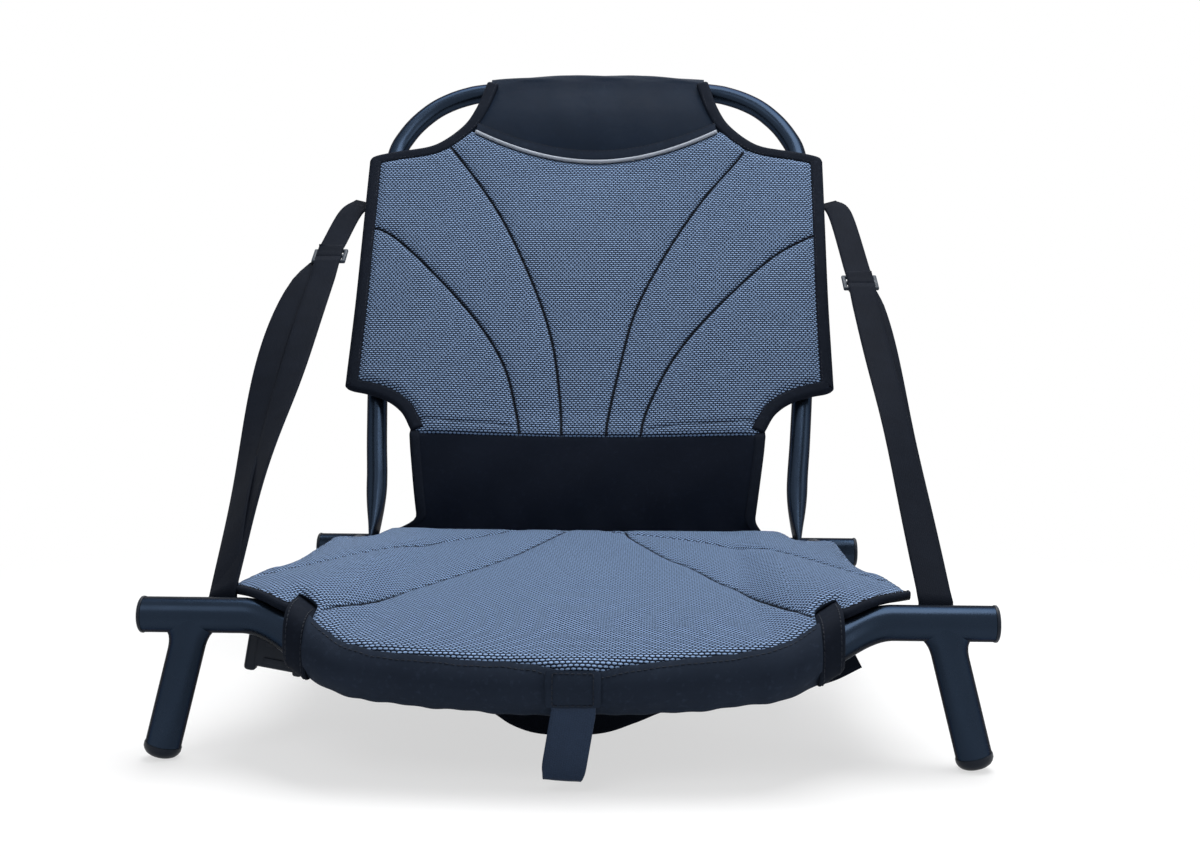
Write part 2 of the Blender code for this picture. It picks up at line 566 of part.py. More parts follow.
# Side straps: upper piece, tri-glide and the doubled lower piece down to the front crossbar
for label, sx in SIDES:
    top = np.array(back_point(sx * STRAP_TOP[0], *STRAP_TOP[1:]))
    clear = np.array(back_point(sx * STRAP_CLEAR[0], *STRAP_CLEAR[1:]))
    anchor = np.array((sx * ANCHOR_X, Y_TIP + BAR_R + 0.0020, AXIS_Z + 0.012))
    glide = top + (anchor - top) * GLIDE_AT[label]
    glide[0] = sx * GLIDE_X
    down = unit(anchor - glide)
    across = unit(np.array((sx, 0, 0)) - down * down[0] * sx)
    face = np.cross(down, across) * sx
    face = face if face[1] < 0 else -face
    proud = GLIDE_T / 2 + WEB_T / 2 + GAP  # webbing lies on the tri-glide's faces
    path = list(spline([top, clear, glide - down * (GLIDE_L / 2 + 0.012)], 12))
    path += [glide - down * (GLIDE_L / 2 + 0.003) + face * proud, glide - down * GLIDE_SLOT + face * proud]
    add(f"upper_strap_{label}", ribbon(path, [across] * len(path), WEB_W, WEB_T), "web")

    bm = bmesh.new()
    bmesh.ops.create_cube(bm, size=1.0)
    bmesh.ops.scale(bm, vec=(GLIDE_W, GLIDE_L, GLIDE_T), verts=bm.verts)
    bmesh.ops.bevel(bm, geom=list(bm.edges), offset=0.0012, segments=2, affect="EDGES")
    body = add(f"tri_glide_{label}", bm, "buckle")
    frame = Matrix((Vector(across), Vector(down), Vector(np.cross(across, down)))).transposed().to_4x4()
    body.matrix_world = Matrix.Translation(Vector(glide)) @ frame
    for k, offset in enumerate((-GLIDE_SLOT, GLIDE_SLOT)):
        bm = bmesh.new()
        bmesh.ops.create_cube(bm, size=1.0)
        bmesh.ops.scale(bm, vec=(WEB_W + 0.0012, 0.0056, 0.02), verts=bm.verts)
        bmesh.ops.translate(bm, vec=(0, offset, 0), verts=bm.verts)
        bmesh.ops.transform(bm, matrix=body.matrix_world, verts=bm.verts)
        cut(body, bm, f"glide_slot_{label}_{k}")

    start = glide + down * GLIDE_SLOT
    ply = WEB_T / 2 + 0.0001
    strands = []
    for sign, bow, shift in ((-1, 0.009, 0.007), (1, 0.004, 0.0)):
        pts = []
        for k in [0.0, 0.02, 0.05, 0.08, *np.linspace(0.15, 1, 12)]:
            spread = min(max((0.08 - k) / 0.06, 0.0), 1.0)
            lift = sign * (ply + (proud - ply) * spread + bow * math.sin(math.pi * k) ** 2)
            pts.append(start + (anchor - start) * k + face * lift - across * sx * shift * math.sin(math.pi * k))
        strands.append(pts)
    near = Y_TIP + BAR_R + GAP + WEB_T / 2
    fold = [np.array((sx * ANCHOR_X, y, AXIS_Z + z)) for y, z in
            ((near, 0.005), (near, -0.0055), (near + ply, -0.0055 - ply), (near + 2 * ply, -0.0055),
             (near + 2 * ply, 0.005))]
    path = strands[1] + fold + strands[0][::-1]
    strap = add(f"lower_strap_{label}", ribbon(path, [across] * len(path), WEB_W, WEB_T), "web")
    head = near + 2 * ply + WEB_T / 2 + GAP
    ends = [(sx * ANCHOR_X, Y_TIP + BAR_R - 0.009, AXIS_Z), (sx * ANCHOR_X, head + 0.003, AXIS_Z)]
    cut(strap, cylinder(*ends, SCREW_R + GAP, 12), f"strap_hole_{label}")
    cut(front_bar, cylinder(*ends, SCREW_R + GAP, 12), f"screw_hole_{label}")
    rings = [ring((sx * ANCHOR_X, y, AXIS_Z), (1, 0, 0), (0, 0, 1), r, r, 12)
             for y, r in ((Y_TIP + BAR_R - 0.0085, SCREW_R), (head, SCREW_R), (head, 0.0052), (head + 0.0010, 0.0050),
                          (head + 0.0020, 0.0032))]
    add(f"strap_screw_{label}", loft(rings), "steel")

# Pull loop stitched to the front of the hem
bar_mid = np.array(bar_axis(LOOP_X))
r = HEM_R + GAP + LOOP_T / 2
path = [bar_mid + (0, -r * math.cos(a), r * math.sin(a)) for a in np.linspace(0.42, -0.25, 5)]
drop = [(-r * 0.98, -0.016), (-r * 0.93, -0.034), (-r * 0.90, -0.050)]
path += [bar_mid + (0, y, z) for y, z in drop]
low = bar_mid[2] - LOOP_LOW_Z - LOOP_T / 2
path += [bar_mid + (0, -0.0128, -low + 0.002), bar_mid + (0, -0.0100, -low), bar_mid + (0, -0.0072, -low + 0.002)]
path += [bar_mid + (0, y, z) for y, z in ((-0.0060, -0.050), (-0.0062, -0.034), (-0.0066, -0.0185))]
add("pull_loop", ribbon(path, [(1, 0, 0)] * len(path), LOOP_W, LOOP_T), "web")

# Tension strap slung under the seat, standing on its edge behind the hem, with a buckle at its left end
sag_line = [(-0.1901, 0.0725), (-0.168, 0.0686), (-0.125, 0.0590), (-0.075, 0.0480), (-0.050, 0.0425),
            (-0.033, 0.0325), (-0.014, 0.0275), (0.022, 0.0270), (0.045, 0.0340), (0.068, 0.0440),
            (0.100, 0.0520), (0.165, 0.0630), (0.186, 0.0675), (0.2060, 0.0777)]
path = [(x, TENSION_Y, z) for x, z in spline(sag_line, 30)]
add("tension_strap", ribbon(path, [(0, 0, 1)] * len(path), WEB_W, WEB_T), "web")
bm = bmesh.new()
bmesh.ops.create_cube(bm, size=1.0)
bmesh.ops.scale(bm, vec=(0.040, 0.010, 0.030), verts=bm.verts)
bmesh.ops.bevel(bm, geom=list(bm.edges), offset=0.003, segments=2, affect="EDGES")
tension_buckle = add("tension_buckle", bm, "buckle")
tension_buckle.location = (-0.2105, TENSION_Y, 0.0753)
tension_buckle.rotation_euler = (0, math.radians(8), 0)
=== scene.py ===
import math

import bmesh
import bpy
import numpy as np
from mathutils import Matrix, Vector
from mathutils.geometry import delaunay_2d_cdt


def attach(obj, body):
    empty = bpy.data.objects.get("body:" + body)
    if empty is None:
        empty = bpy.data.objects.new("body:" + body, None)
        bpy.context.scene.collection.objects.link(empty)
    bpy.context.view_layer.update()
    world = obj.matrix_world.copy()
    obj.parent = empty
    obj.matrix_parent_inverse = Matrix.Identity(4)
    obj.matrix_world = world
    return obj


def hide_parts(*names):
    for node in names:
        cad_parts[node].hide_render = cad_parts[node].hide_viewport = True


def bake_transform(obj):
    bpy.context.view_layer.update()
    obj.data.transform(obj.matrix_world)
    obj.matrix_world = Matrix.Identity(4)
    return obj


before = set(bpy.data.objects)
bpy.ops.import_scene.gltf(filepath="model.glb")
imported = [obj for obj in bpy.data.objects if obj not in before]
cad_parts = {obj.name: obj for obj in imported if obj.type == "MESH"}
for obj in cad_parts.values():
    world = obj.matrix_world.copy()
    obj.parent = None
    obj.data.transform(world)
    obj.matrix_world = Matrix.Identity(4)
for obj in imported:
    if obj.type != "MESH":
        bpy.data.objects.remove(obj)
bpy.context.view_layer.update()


def mm(*pairs):
    """Points given in millimetres."""
    return np.array(pairs, float) / 1000


def columns(*values):
    """Points from their coordinates."""
    return np.stack(values, axis=-1)


# The frame's own sizes, in metres
BAR_R = 0.0127
HOOP_R = 0.009525
AXIS_Z = 0.1034
Y_TIP = -0.26159
TIP_X, REAR_X, REAR_Y = 0.2995, 0.2455, Y_TIP + 0.330
BOW_START_X, BOW_LENGTH, BOW_FORWARD, BOW_DROP = 0.230, 0.095, 0.046, 0.029
CROWN_X, CROWN_FORWARD, CROWN_DROP = 0.135, 0.010, 0.007
LEG_TOP_X, LEG_FOOT_X, REAR_LEG_INSET, FOOT_H = 0.264, 0.2905, 0.037, 0.0075
RAIL_X = 0.209
LEAN = math.radians(32.4)
HINGE_Y, HINGE_Z = Y_TIP + 0.291, AXIS_Z
GAP = 0.0003
CLOTH = 0.0025
HEM_R = BAR_R + 2 * GAP + CLOTH
SIDES = (("left", -1.0), ("right", 1.0))
UP = np.array((0.0, 0.0, 1.0))

HOOP_LINE = mm((192.3, -0.5), (192.3, 15), (192.2, 35), (194, 75), (198.5, 122), (204.5, 200), (209.5, 300),
               (212, 400), (211.2, 430), (207.5, 460), (200, 479), (189, 497), (173, 514.5), (156.5, 525.8),
               (139.5, 533.3), (123, 537.5), (80, 542.8), (40, 545.2), (0, 546))
BACK_EDGE = mm((164, 118), (166.5, 123.5), (175, 138.5), (189.5, 150), (208, 157), (223, 160.5),
               (229.6, 165), (230.2, 174), (230, 260), (231.2, 350), (232.2, 424), (231.8, 435),
               (226, 440.5), (205, 446), (188, 449), (174, 452.2), (162, 458), (148, 470), (135.5, 485),
               (127, 503), (121.5, 521), (117, 538.5))
BINDING_W, BINDING_T = 0.012, 0.0065
PANEL_OFF = HOOP_R + GAP + 0.0015 + GAP + 0.0075 / 2
MESH_BOTTOM = 0.1155
PIPE_X, PIPE_END, PIPE_MID, PIPE_R = 0.121, 0.4690, 0.4370, 0.0019
TAB_TOP_X = 0.1165


# Materials
def add_node(tree, kind, **inputs):
    """New node; each input, by its name or as _ and its number, is a value or another node's output."""
    n = tree.nodes.new(kind)
    for key, value in inputs.items():
        key = int(key[1:]) if key[0] == "_" else key.replace("_", " ")
        if isinstance(value, bpy.types.NodeSocket):
            tree.links.new(value, n.inputs[key])
        else:
            n.inputs[key].default_value = value
    return n


def combine(tree, op, a, b):
    """Output of a sum, product or other operation on two numbers."""
    n = add_node(tree, "ShaderNodeMath", _0=a, _1=b)
    n.operation = op
    return n.outputs[0]


class Shader:
    """Node tree of one material, with short names for the nodes it uses."""

    def __init__(self, name, rough, specular, metal=0.0):
        self.mat = bpy.data.materials.new(name)
        self.mat.use_nodes = True
        self.tree = self.mat.node_tree
        self.out = self.tree.nodes["Principled BSDF"]
        self.set("Roughness", rough)
        self.set("Metallic", metal)
        self.set("Specular IOR Level", specular)

    def set(self, socket, value):
        if isinstance(value, bpy.types.NodeSocket):
            self.tree.links.new(value, self.out.inputs[socket])
        else:
            self.out.inputs[socket].default_value = value

    def node(self, kind, **inputs):
        return add_node(self.tree, kind, **inputs)

    def math(self, op, a, b=0.0):
        return combine(self.tree, op, a, b)

    def add(self, a, b):
        return self.math("ADD", a, b)

    def mul(self, a, b):
        return self.math("MULTIPLY", a, b)

    def over(self, a, b):
        return self.math("DIVIDE", a, b)

    def centred(self, value):
        """Where a repeat stands between its edges, from -1 to 1."""
        return self.mul(self.math("SUBTRACT", self.math("FRACT", value), 0.5), 2.0)

    def uv(self):
        n = self.node("ShaderNodeUVMap")
        n.uv_map = "cloth"
        s = self.node("ShaderNodeSeparateXYZ", Vector=n.outputs[0])
        return s.outputs[0], s.outputs[1]

    def noise(self, scale, detail=3.0, rough=0.55):
        place = self.node("ShaderNodeTexCoord").outputs["Object"]
        n = self.node("ShaderNodeTexNoise", Vector=place, Scale=scale, Detail=detail, Roughness=rough)
        return n.outputs[0]

    def ramp(self, value, low, high, to_low=0.0, to_high=1.0):
        return self.node("ShaderNodeMapRange", Value=value, From_Min=low, From_Max=high,
                         To_Min=to_low, To_Max=to_high).outputs[0]

    def mix(self, fac, a, b):
        n = self.tree.nodes.new("ShaderNodeMix")
        n.data_type = "RGBA"
        for key, value in ((0, fac), (6, a), (7, b)):
            if isinstance(value, bpy.types.NodeSocket):
                self.tree.links.new(value, n.inputs[key])
            else:
                n.inputs[key].default_value = (*value, 1.0) if key else value
        return n.outputs[2]

    def bump(self, height, distance, strength=1.0, below=None):
        n = self.node("ShaderNodeBump", Height=height, Distance=distance, Strength=strength)
        if below is not None:
            self.tree.links.new(below, n.inputs["Normal"])
        return n.outputs[0]


WEAVE_COLUMN, WEAVE_ROW = 0.00385, 0.00235  # pitch of the floats across and along


def dash_mesh(name, shade_gain):
    """Two-tone woven mesh: pale lens-shaped floats, staggered from row to row, on a navy black ground; a gain
    below 1 darkens the pale floats as painted shade.
    """
    s = Shader(name, 0.80, 0.06)
    u, v = s.uv()
    wob = s.mul(s.math("SUBTRACT", s.noise(30.0, 2.0), 0.5), 0.0010)
    row = s.over(s.add(v, wob), WEAVE_ROW)
    odd = s.math("FLOORED_MODULO", s.math("FLOOR", row), 2.0)
    col = s.add(s.over(s.add(u, wob), WEAVE_COLUMN), s.mul(odd, 0.5))
    across = s.math("POWER", s.over(s.math("ABSOLUTE", s.centred(col)), 0.84), 2.2)
    along = s.math("POWER", s.over(s.math("ABSOLUTE", s.centred(row)), 0.66), 2.0)
    r2 = s.add(across, along)
    mask = s.ramp(r2, 1.12, 0.72)
    tone = s.noise(900.0, 2.0)
    low, high = (tuple(shade_gain * c for c in color) for color in ((0.190, 0.280, 0.450), (0.272, 0.400, 0.636)))
    pale = s.mix(s.ramp(tone, 0.3, 0.7), low, high)
    dark = s.mix(s.ramp(s.noise(14.0, 3.0), 0.35, 0.65), (0.0050, 0.0085, 0.0165), (0.0090, 0.0145, 0.0270))
    seam = s.node("ShaderNodeAttribute")
    seam.attribute_name = "seam"
    woven = s.mix(mask, dark, pale)
    # Darker along the sewn channels; along the creases this darkening is painted shade.
    s.set("Base Color", s.mix(s.ramp(seam.outputs["Fac"], 0.0009, 0.0022), (0.0042, 0.0060, 0.0105), woven))
    dome = s.math("SUBTRACT", 1.0, s.math("MINIMUM", r2, 1.3))
    strands = s.mul(s.math("SINE", s.mul(v, 9000.0)), 0.06)
    s.set("Normal", s.bump(s.add(dome, strands), 0.00055, 0.9))
    return s.mat


def plain_cloth(name, color, lift, rough, scale, ribs=None, specular=0.02):
    """Woven cloth: a fine plain weave, or ribs across, with slow changes of tone and a little lint."""
    s = Shader(name, rough, specular)
    u, v = s.uv()
    a = s.math("SINE", s.mul(u, 2 * math.pi * scale))
    b = s.math("SINE", s.mul(v, 2 * math.pi * (ribs or scale)))
    weave = s.mul(a, b) if ribs is None else s.add(b, s.mul(a, 0.25))
    tone = s.ramp(s.noise(22.0, 4.0), 0.35, 0.68)
    wear = s.mul(s.ramp(s.noise(240.0, 3.0), 0.56, 0.78), 0.5)
    dark = s.mix(tone, tuple(c * 0.82 for c in color), color)
    light = tuple(c * lift for c in color)
    thread = s.mul(s.ramp(weave, -1.0, 1.0), 0.35)
    s.set("Base Color", s.mix(s.add(thread, wear), dark, light))
    s.set("Normal", s.bump(weave, 0.00010, 0.55, s.bump(s.noise(55.0, 4.0), 0.0009, 0.5)))
    return s.mat


def webbing(name, color, lift, rough=0.66, specular=0.02):
    """Narrow webbing: herringbone ridges between two plain selvedges."""
    s = Shader(name, rough, specular)
    u, v = s.uv()
    zig = s.math("PINGPONG", s.over(u, 0.0031), 1.0)
    rib = s.math("SINE", s.mul(s.add(s.over(v, 0.0016), zig), 2 * math.pi))
    cords = s.math("SINE", s.mul(u, 2 * math.pi / 0.00155))
    body = s.add(s.mul(rib, 0.6), s.mul(cords, 0.5))
    relief = s.add(s.mul(body, 0.25), s.ramp(s.math("ABSOLUTE", u), 0.0106, 0.0113, 0.5, 0.62))
    tone = s.ramp(s.noise(35.0, 4.0), 0.35, 0.7)
    light = tuple(c * lift for c in color)
    fac = s.add(s.mul(s.ramp(body, -0.6, 1.0), 0.38), s.mul(tone, 0.25))
    s.set("Base Color", s.mix(fac, color, light))
    s.set("Normal", s.bump(relief, 0.00028, 0.7, s.bump(s.noise(70.0, 3.0), 0.0006, 0.35)))
    return s.mat


def coated_tube(name):
    """Navy grey coating on aluminium: satin, with a fine orange-peel skin and faint rub marks."""
    s = Shader(name, 0.36, 0.20, metal=0.8)
    s.out.inputs["Specular Tint"].default_value = (0.10, 0.14, 0.20, 1.0)
    tone = s.ramp(s.noise(9.0, 4.0), 0.3, 0.72)
    rub = s.mul(s.ramp(s.noise(85.0, 6.0, rough=0.7), 0.62, 0.80), 0.35)
    base = s.mix(tone, (0.0145, 0.0225, 0.0370), (0.0180, 0.0280, 0.0460))
    s.set("Base Color", s.mix(rub, base, (0.028, 0.041, 0.062)))
    s.set("Roughness", s.ramp(s.noise(60.0, 5.0), 0.25, 0.75, 0.22, 0.32))
    s.set("Normal", s.bump(s.noise(900.0, 2.0), 0.00006, 0.35))
    return s.mat


def moulded(name, color, rough, metal=0.0):
    """Moulded plastic or plain metal with a fine spark-eroded grain and lighter handled spots."""
    s = Shader(name, rough, 0.14, metal=metal)
    tone = s.ramp(s.noise(45.0, 4.0), 0.3, 0.72)
    s.set("Base Color", s.mix(tone, color, tuple(min(c * 1.35 + 0.002, 1.0) for c in color)))
    s.set("Roughness", s.ramp(s.noise(130.0, 4.0), 0.3, 0.7, rough - 0.07, rough + 0.09))
    s.set("Normal", s.bump(s.noise(1600.0, 3.0), 0.00008, 0.4))
    return s.mat


MATS = {
    "tube": coated_tube("coated_tube"),
    "plug": moulded("moulded_plug", (0.0070, 0.0105, 0.0175), 0.40),
    "steel": moulded("dark_steel", (0.06, 0.066, 0.078), 0.36, 1.0),
    "mesh": dash_mesh("dash_mesh", 1.0),
    # The backrest's copy of the mesh has pale floats only four fifths as bright as the seat's: painted shade.
    "painted_shade_back_mesh": dash_mesh("painted_shade_back_dash_mesh", 0.80),
    "black_cloth": plain_cloth("hem_cloth", (0.0125, 0.0178, 0.0290), 1.9, 0.72, 1150.0),
    "satin": plain_cloth("satin_cloth", (0.0048, 0.0100, 0.0205), 1.35, 0.50, 1700.0, specular=0.025),
    "lumbar": plain_cloth("lumbar_cloth", (0.0050, 0.0073, 0.0134), 1.6, 0.62, 1400.0),
    "tape": plain_cloth("binding_tape", (0.0062, 0.0084, 0.0138), 2.0, 0.70, 900.0, 1150.0),
    "pipe": plain_cloth("piping_cloth", (0.30, 0.33, 0.38), 1.25, 0.60, 1300.0),
    "web": webbing("side_webbing", (0.0037, 0.0051, 0.0086), 2.3),
    "loop": webbing("loop_webbing", (0.0150, 0.0260, 0.0500), 1.6, rough=0.42, specular=0.08),
    "buckle": moulded("moulded_buckle", (0.0200, 0.0275, 0.0385), 0.42),
    "thread": moulded("sewing_thread", (0.0070, 0.0100, 0.0170), 0.60),
}


# Mesh building
def unit(v):
    v = np.asarray(v, float)
    return v / np.linalg.norm(v, axis=-1, keepdims=True)


def spline(points, n):
    """n points evenly spaced along a smooth curve through the given ones."""
    p = np.asarray(points, float)
    p = np.vstack([2 * p[0] - p[1], p, 2 * p[-1] - p[-2]])
    dense = []
    for i in range(1, len(p) - 2):
        for t in np.linspace(0, 1, 24, endpoint=i == len(p) - 3):
            a, b, c, d = p[i - 1:i + 3]
            dense.append(0.5 * (2 * b + (c - a) * t + (2 * a - 5 * b + 4 * c - d) * t ** 2
                                + (3 * b - a - 3 * c + d) * t ** 3))
    dense = np.array(dense)
    return even(dense, n)


def even(line, n):
    """The same line with n evenly spaced points."""
    line = np.asarray(line, float)
    run = lengths(line)
    at = np.linspace(0, run[-1], n)
    return follow(line, run, at)


def follow(line, run, at):
    """The line's points at the given lengths along it."""
    return columns(*(np.interp(at, run, line[:, k]) for k in range(line.shape[1])))


def lengths(line):
    return np.concatenate([[0], np.cumsum(np.linalg.norm(np.diff(line, axis=0), axis=1))])


def make(name, verts, faces, uvs, mat, body, replaces=None, slot=None, extra=None):
    """Object on a CAD body from points, faces and a cloth coordinate for each corner of each face."""
    mesh = bpy.data.meshes.new(name)
    mesh.from_pydata([tuple(map(float, p)) for p in verts], [], faces)
    layer = mesh.uv_layers.new(name="cloth")
    layer.data.foreach_set("uv", np.asarray(uvs, np.float32).ravel())
    mesh.polygons.foreach_set("use_smooth", [True] * len(mesh.polygons))
    mesh.materials.append(MATS[mat])
    if extra:
        mesh.materials.append(MATS[extra[0]])
        mesh.polygons.foreach_set("material_index", extra[1])
    mesh.validate()
    mesh.update()
    obj = bpy.data.objects.new(name, mesh)
    bpy.context.scene.collection.objects.link(obj)
    if replaces:
        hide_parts(replaces)
    if body:
        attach(obj, body)
    return obj


def rings_data(rings, along, around):
    """Points, faces and corner coordinates of a skin through rings, its ends capped with a fan."""
    rings = np.asarray(rings, float)
    n, m = rings.shape[:2]
    mid = rings.mean(1)
    if along is None:
        along = lengths(mid)
    if around is None:
        around = lengths(np.vstack([rings[n // 2], rings[n // 2][:1]]))
    faces, uvs = [], []
    for i in range(n - 1):
        for j in range(m):
            faces.append((i * m + j, i * m + (j + 1) % m, (i + 1) * m + (j + 1) % m, (i + 1) * m + j))
            uvs += [(around[j], along[i]), (around[j + 1], along[i]), (around[j + 1], along[i + 1]),
                    (around[j], along[i + 1])]
    for row, centre in ((0, n * m), (n - 1, n * m + 1)):
        for j in range(m):
            a, b = row * m + j, row * m + (j + 1) % m
            faces.append((a, b, centre) if row else (b, a, centre))
            uvs += [(around[j], along[row])] * 3
    return np.vstack([rings.reshape(-1, 3), mid[:1], mid[-1:]]), faces, uvs


def outward(verts, faces, uvs):
    """Turns the faces over where the closed skin would be inside out."""
    v = np.asarray(verts, float)
    total = 0.0
    for f in faces:
        a, b, c = v[f[0]], v[f[1]], v[f[2]]
        total += np.dot(a, np.cross(b, c))
        if len(f) == 4:
            total += np.dot(a, np.cross(c, v[f[3]]))
    if total >= 0:
        return verts, faces, uvs
    out, new_uvs, at = [], [], 0
    for f in faces:
        out.append(tuple(reversed(f)))
        new_uvs += uvs[at:at + len(f)][::-1]
        at += len(f)
    return verts, out, new_uvs


def skin(name, rings, mat, body, replaces=None, slot=None, along=None, around=None, sharp=None):
    """Closed object through rings; sharp is the angle from which its edges stay sharp, in degrees."""
    obj = make(name, *outward(*rings_data(rings, along, around)), mat, body, replaces, slot)
    if sharp:
        obj.data.set_sharp_from_angle(angle=math.radians(sharp))
    return obj


def slab(name, grid, thick, facing, mat, body, replaces=None, slot=None):
    """Sheet with a front, a back and square edges; facing is the side that is the front."""
    rows, cols = grid.shape[:2]
    n = unit(np.cross(np.gradient(grid, axis=0), np.gradient(grid, axis=1)))
    if (n.reshape(-1, 3) @ np.asarray(facing, float)).sum() < 0:
        n = -n
    verts = np.vstack([(grid + n * thick / 2).reshape(-1, 3), (grid - n * thick / 2).reshape(-1, 3)])
    across = np.repeat(lengths(grid[:, cols // 2])[:, None], cols, axis=1).ravel()
    down = np.repeat(lengths(grid[rows // 2])[None], rows, axis=0).ravel()
    flat = np.tile(columns(across, down), (2, 1))
    ids = np.arange(rows * cols).reshape(rows, cols)
    front = [(ids[i, j], ids[i + 1, j], ids[i + 1, j + 1], ids[i, j + 1])
             for i in range(rows - 1) for j in range(cols - 1)]
    a, b, c = (verts[k] for k in front[len(front) // 2][:3])
    if np.dot(np.cross(b - a, c - b), n[rows // 2, cols // 2]) < 0:
        front = [f[::-1] for f in front]
    m = rows * cols
    faces = front + [tuple(k + m for k in f[::-1]) for f in front]
    faces += [(b, a, a + m, b + m) for a, b in border(front)]
    faces = [tuple(int(k) for k in f) for f in faces]
    uvs = [tuple(flat[k]) for f in faces for k in f]
    obj = make(name, verts, faces, uvs, mat, body, replaces, slot)
    obj.data.set_sharp_from_angle(angle=math.radians(60))
    return obj, n


def merge(name, parts, mat, body, replaces, sharp, slot=None):
    """Several closed skins in one object."""
    verts, faces, uvs, base = [], [], [], 0
    for part in parts:
        v, f, t = outward(*part)
        verts.append(v)
        faces += [tuple(i + base for i in face) for face in f]
        uvs += t
        base += len(v)
    obj = make(name, np.vstack(verts), faces, uvs, mat, body, replaces, slot)
    obj.data.set_sharp_from_angle(angle=math.radians(sharp))


def tube(path, radius, sides, up=UP):
    """Round sections square to a path; radius may change along it."""
    path = np.asarray(path, float)
    t = unit(np.gradient(path, axis=0))
    side = unit(np.cross(t, np.broadcast_to(up, path.shape)))
    top = np.cross(side, t)
    a = np.linspace(0, 2 * math.pi, sides, endpoint=False)
    r = np.broadcast_to(radius, len(path))
    return (path[:, None] + r[:, None, None] * (np.cos(a)[None, :, None] * side[:, None]
                                                + np.sin(a)[None, :, None] * top[:, None]))


def turned(start, axis, profile, sides):
    """Rings of a turned shape: (distance along the axis, radius) from start."""
    axis = unit(axis)
    side = unit(np.cross(axis, (0, 0, 1) if abs(axis[2]) < 0.9 else (0, 1, 0)))
    top = np.cross(side, axis)
    a = np.linspace(0, 2 * math.pi, sides, endpoint=False)
    ring = np.cos(a)[:, None] * side + np.sin(a)[:, None] * top
    return np.array([np.asarray(start) + axis * d + r * ring for d, r in profile])


def strap_section(width, thickness, bulge=0.0):
    """Closed profile of webbing: (across, through), rounded at its edges and fuller in the middle."""
    half, t = width / 2, thickness / 2
    top = [(-half + t * 0.6, t), (-half * 0.7, t), (-half * 0.35, t + bulge), (0, t + bulge),
           (half * 0.35, t + bulge), (half * 0.7, t), (half - t * 0.6, t), (half, t * 0.35)]
    return np.array(top + [(x, -y) for x, y in reversed(top)])


def ribbon(path, across, section, twist=None):
    """Rings of a flat strap along a path; across gives the direction of its width at each point."""
    path = np.asarray(path, float)
    t = unit(np.gradient(path, axis=0))
    w = np.broadcast_to(across, path.shape)
    w = unit(w - (w * t).sum(1)[:, None] * t)
    face = np.cross(t, w)
    if twist is not None:
        c, s = np.cos(twist)[:, None], np.sin(twist)[:, None]
        w, face = w * c + face * s, face * c - w * s
    return path[:, None] + section[None, :, :1] * w[:, None] + section[None, :, 1:] * face[:, None]


def rounded_box(centre, axes, size, edge):
    """Points, faces and coordinates of a box with rounded edges, its directions in the columns of axes."""
    bm = bmesh.new()
    bmesh.ops.create_cube(bm, size=1.0)
    bmesh.ops.scale(bm, vec=size, verts=bm.verts)
    bmesh.ops.bevel(bm, geom=list(bm.edges), offset=edge, segments=3, affect="EDGES", profile=0.5)
    bm.verts.ensure_lookup_table()
    local = np.array([v.co for v in bm.verts])
    faces = [tuple(v.index for v in f.verts) for f in bm.faces]
    bm.free()
    uvs = [tuple(local[i][:2]) for f in faces for i in f]
    return np.asarray(centre) + local @ np.asarray(axes, float).T, faces, uvs


STITCH = 0.0030  # length of one stitch


def stitches(name, line, normal, body, pitch=0.0042, radius=0.00042, slot="tape"):
    """Row of thread stitches: short rounded beads laid along a line on a surface."""
    line = np.asarray(line, float)
    run = lengths(line)
    count = int(run[-1] / pitch)
    at = (np.arange(count) + 0.5) * run[-1] / count
    pos = follow(line, run, at)
    t = unit(follow(line, run, at + 0.0005) - follow(line, run, at - 0.0005))
    normal = np.broadcast_to(normal, line.shape)
    n = unit(follow(normal, run, at))
    n = unit(n - (n * t).sum(1)[:, None] * t)
    b = np.cross(t, n)
    m = 6
    ang = np.linspace(0, 2 * math.pi, m, endpoint=False)
    verts, faces = [], []
    for s, r in ((-0.5, 0.35), (-0.30, 0.95), (0.30, 0.95), (0.5, 0.35)):
        out = np.cos(ang)[None, :, None] * b[:, None] + (np.sin(ang)[None, :, None] * 0.8 + 0.15) * n[:, None]
        ring = (pos + t * STITCH * s)[:, None] + radius * r * out
        verts.append(ring)
    verts = np.stack(verts, axis=1)
    one = [(i * m + j, i * m + (j + 1) % m, (i + 1) * m + (j + 1) % m, (i + 1) * m + j)
           for i in range(3) for j in range(m)]
    one += [tuple(range(m))[::-1], tuple(range(3 * m, 4 * m))]
    for k in range(count):
        faces += [tuple(i + k * 4 * m for i in f) for f in one]
    verts = verts.reshape(-1, 3)
    if sum(np.dot(verts[f[0]], np.cross(verts[f[1]], verts[f[2]])) for f in one[:3 * m]) < 0:
        faces = [f[::-1] for f in faces]
    make(name, verts, faces, [(0.0, 0.0)] * sum(map(len, faces)), "thread", body, slot=slot)


# Shapes shared with the frame
def back_point(x, along, off):
    """Point of the backrest: across, up its lean from the hinge line, and in front of the hoop's plane."""
    x, along, off = np.broadcast_arrays(np.asarray(x, float), along, off)
    return columns(x, HINGE_Y + along * math.sin(LEAN) - off * math.cos(LEAN),
                     HINGE_Z + along * math.cos(LEAN) + off * math.sin(LEAN))


BACK_N = np.array((0.0, -math.cos(LEAN), math.sin(LEAN)))  # straight out of the backrest's front


def bar_axis(x):
    """Centreline of the bowed front crossbar."""
    x = np.asarray(x, float)
    t = np.clip((BOW_START_X - abs(x)) / BOW_LENGTH, 0, 1)
    bend = 3 * t ** 2 - 2 * t ** 3
    crown = 1 - np.minimum(abs(x) / CROWN_X, 1) ** 2
    return columns(x, Y_TIP - BOW_FORWARD * bend - CROWN_FORWARD * crown,
                     AXIS_Z - BOW_DROP * bend - CROWN_DROP * crown)


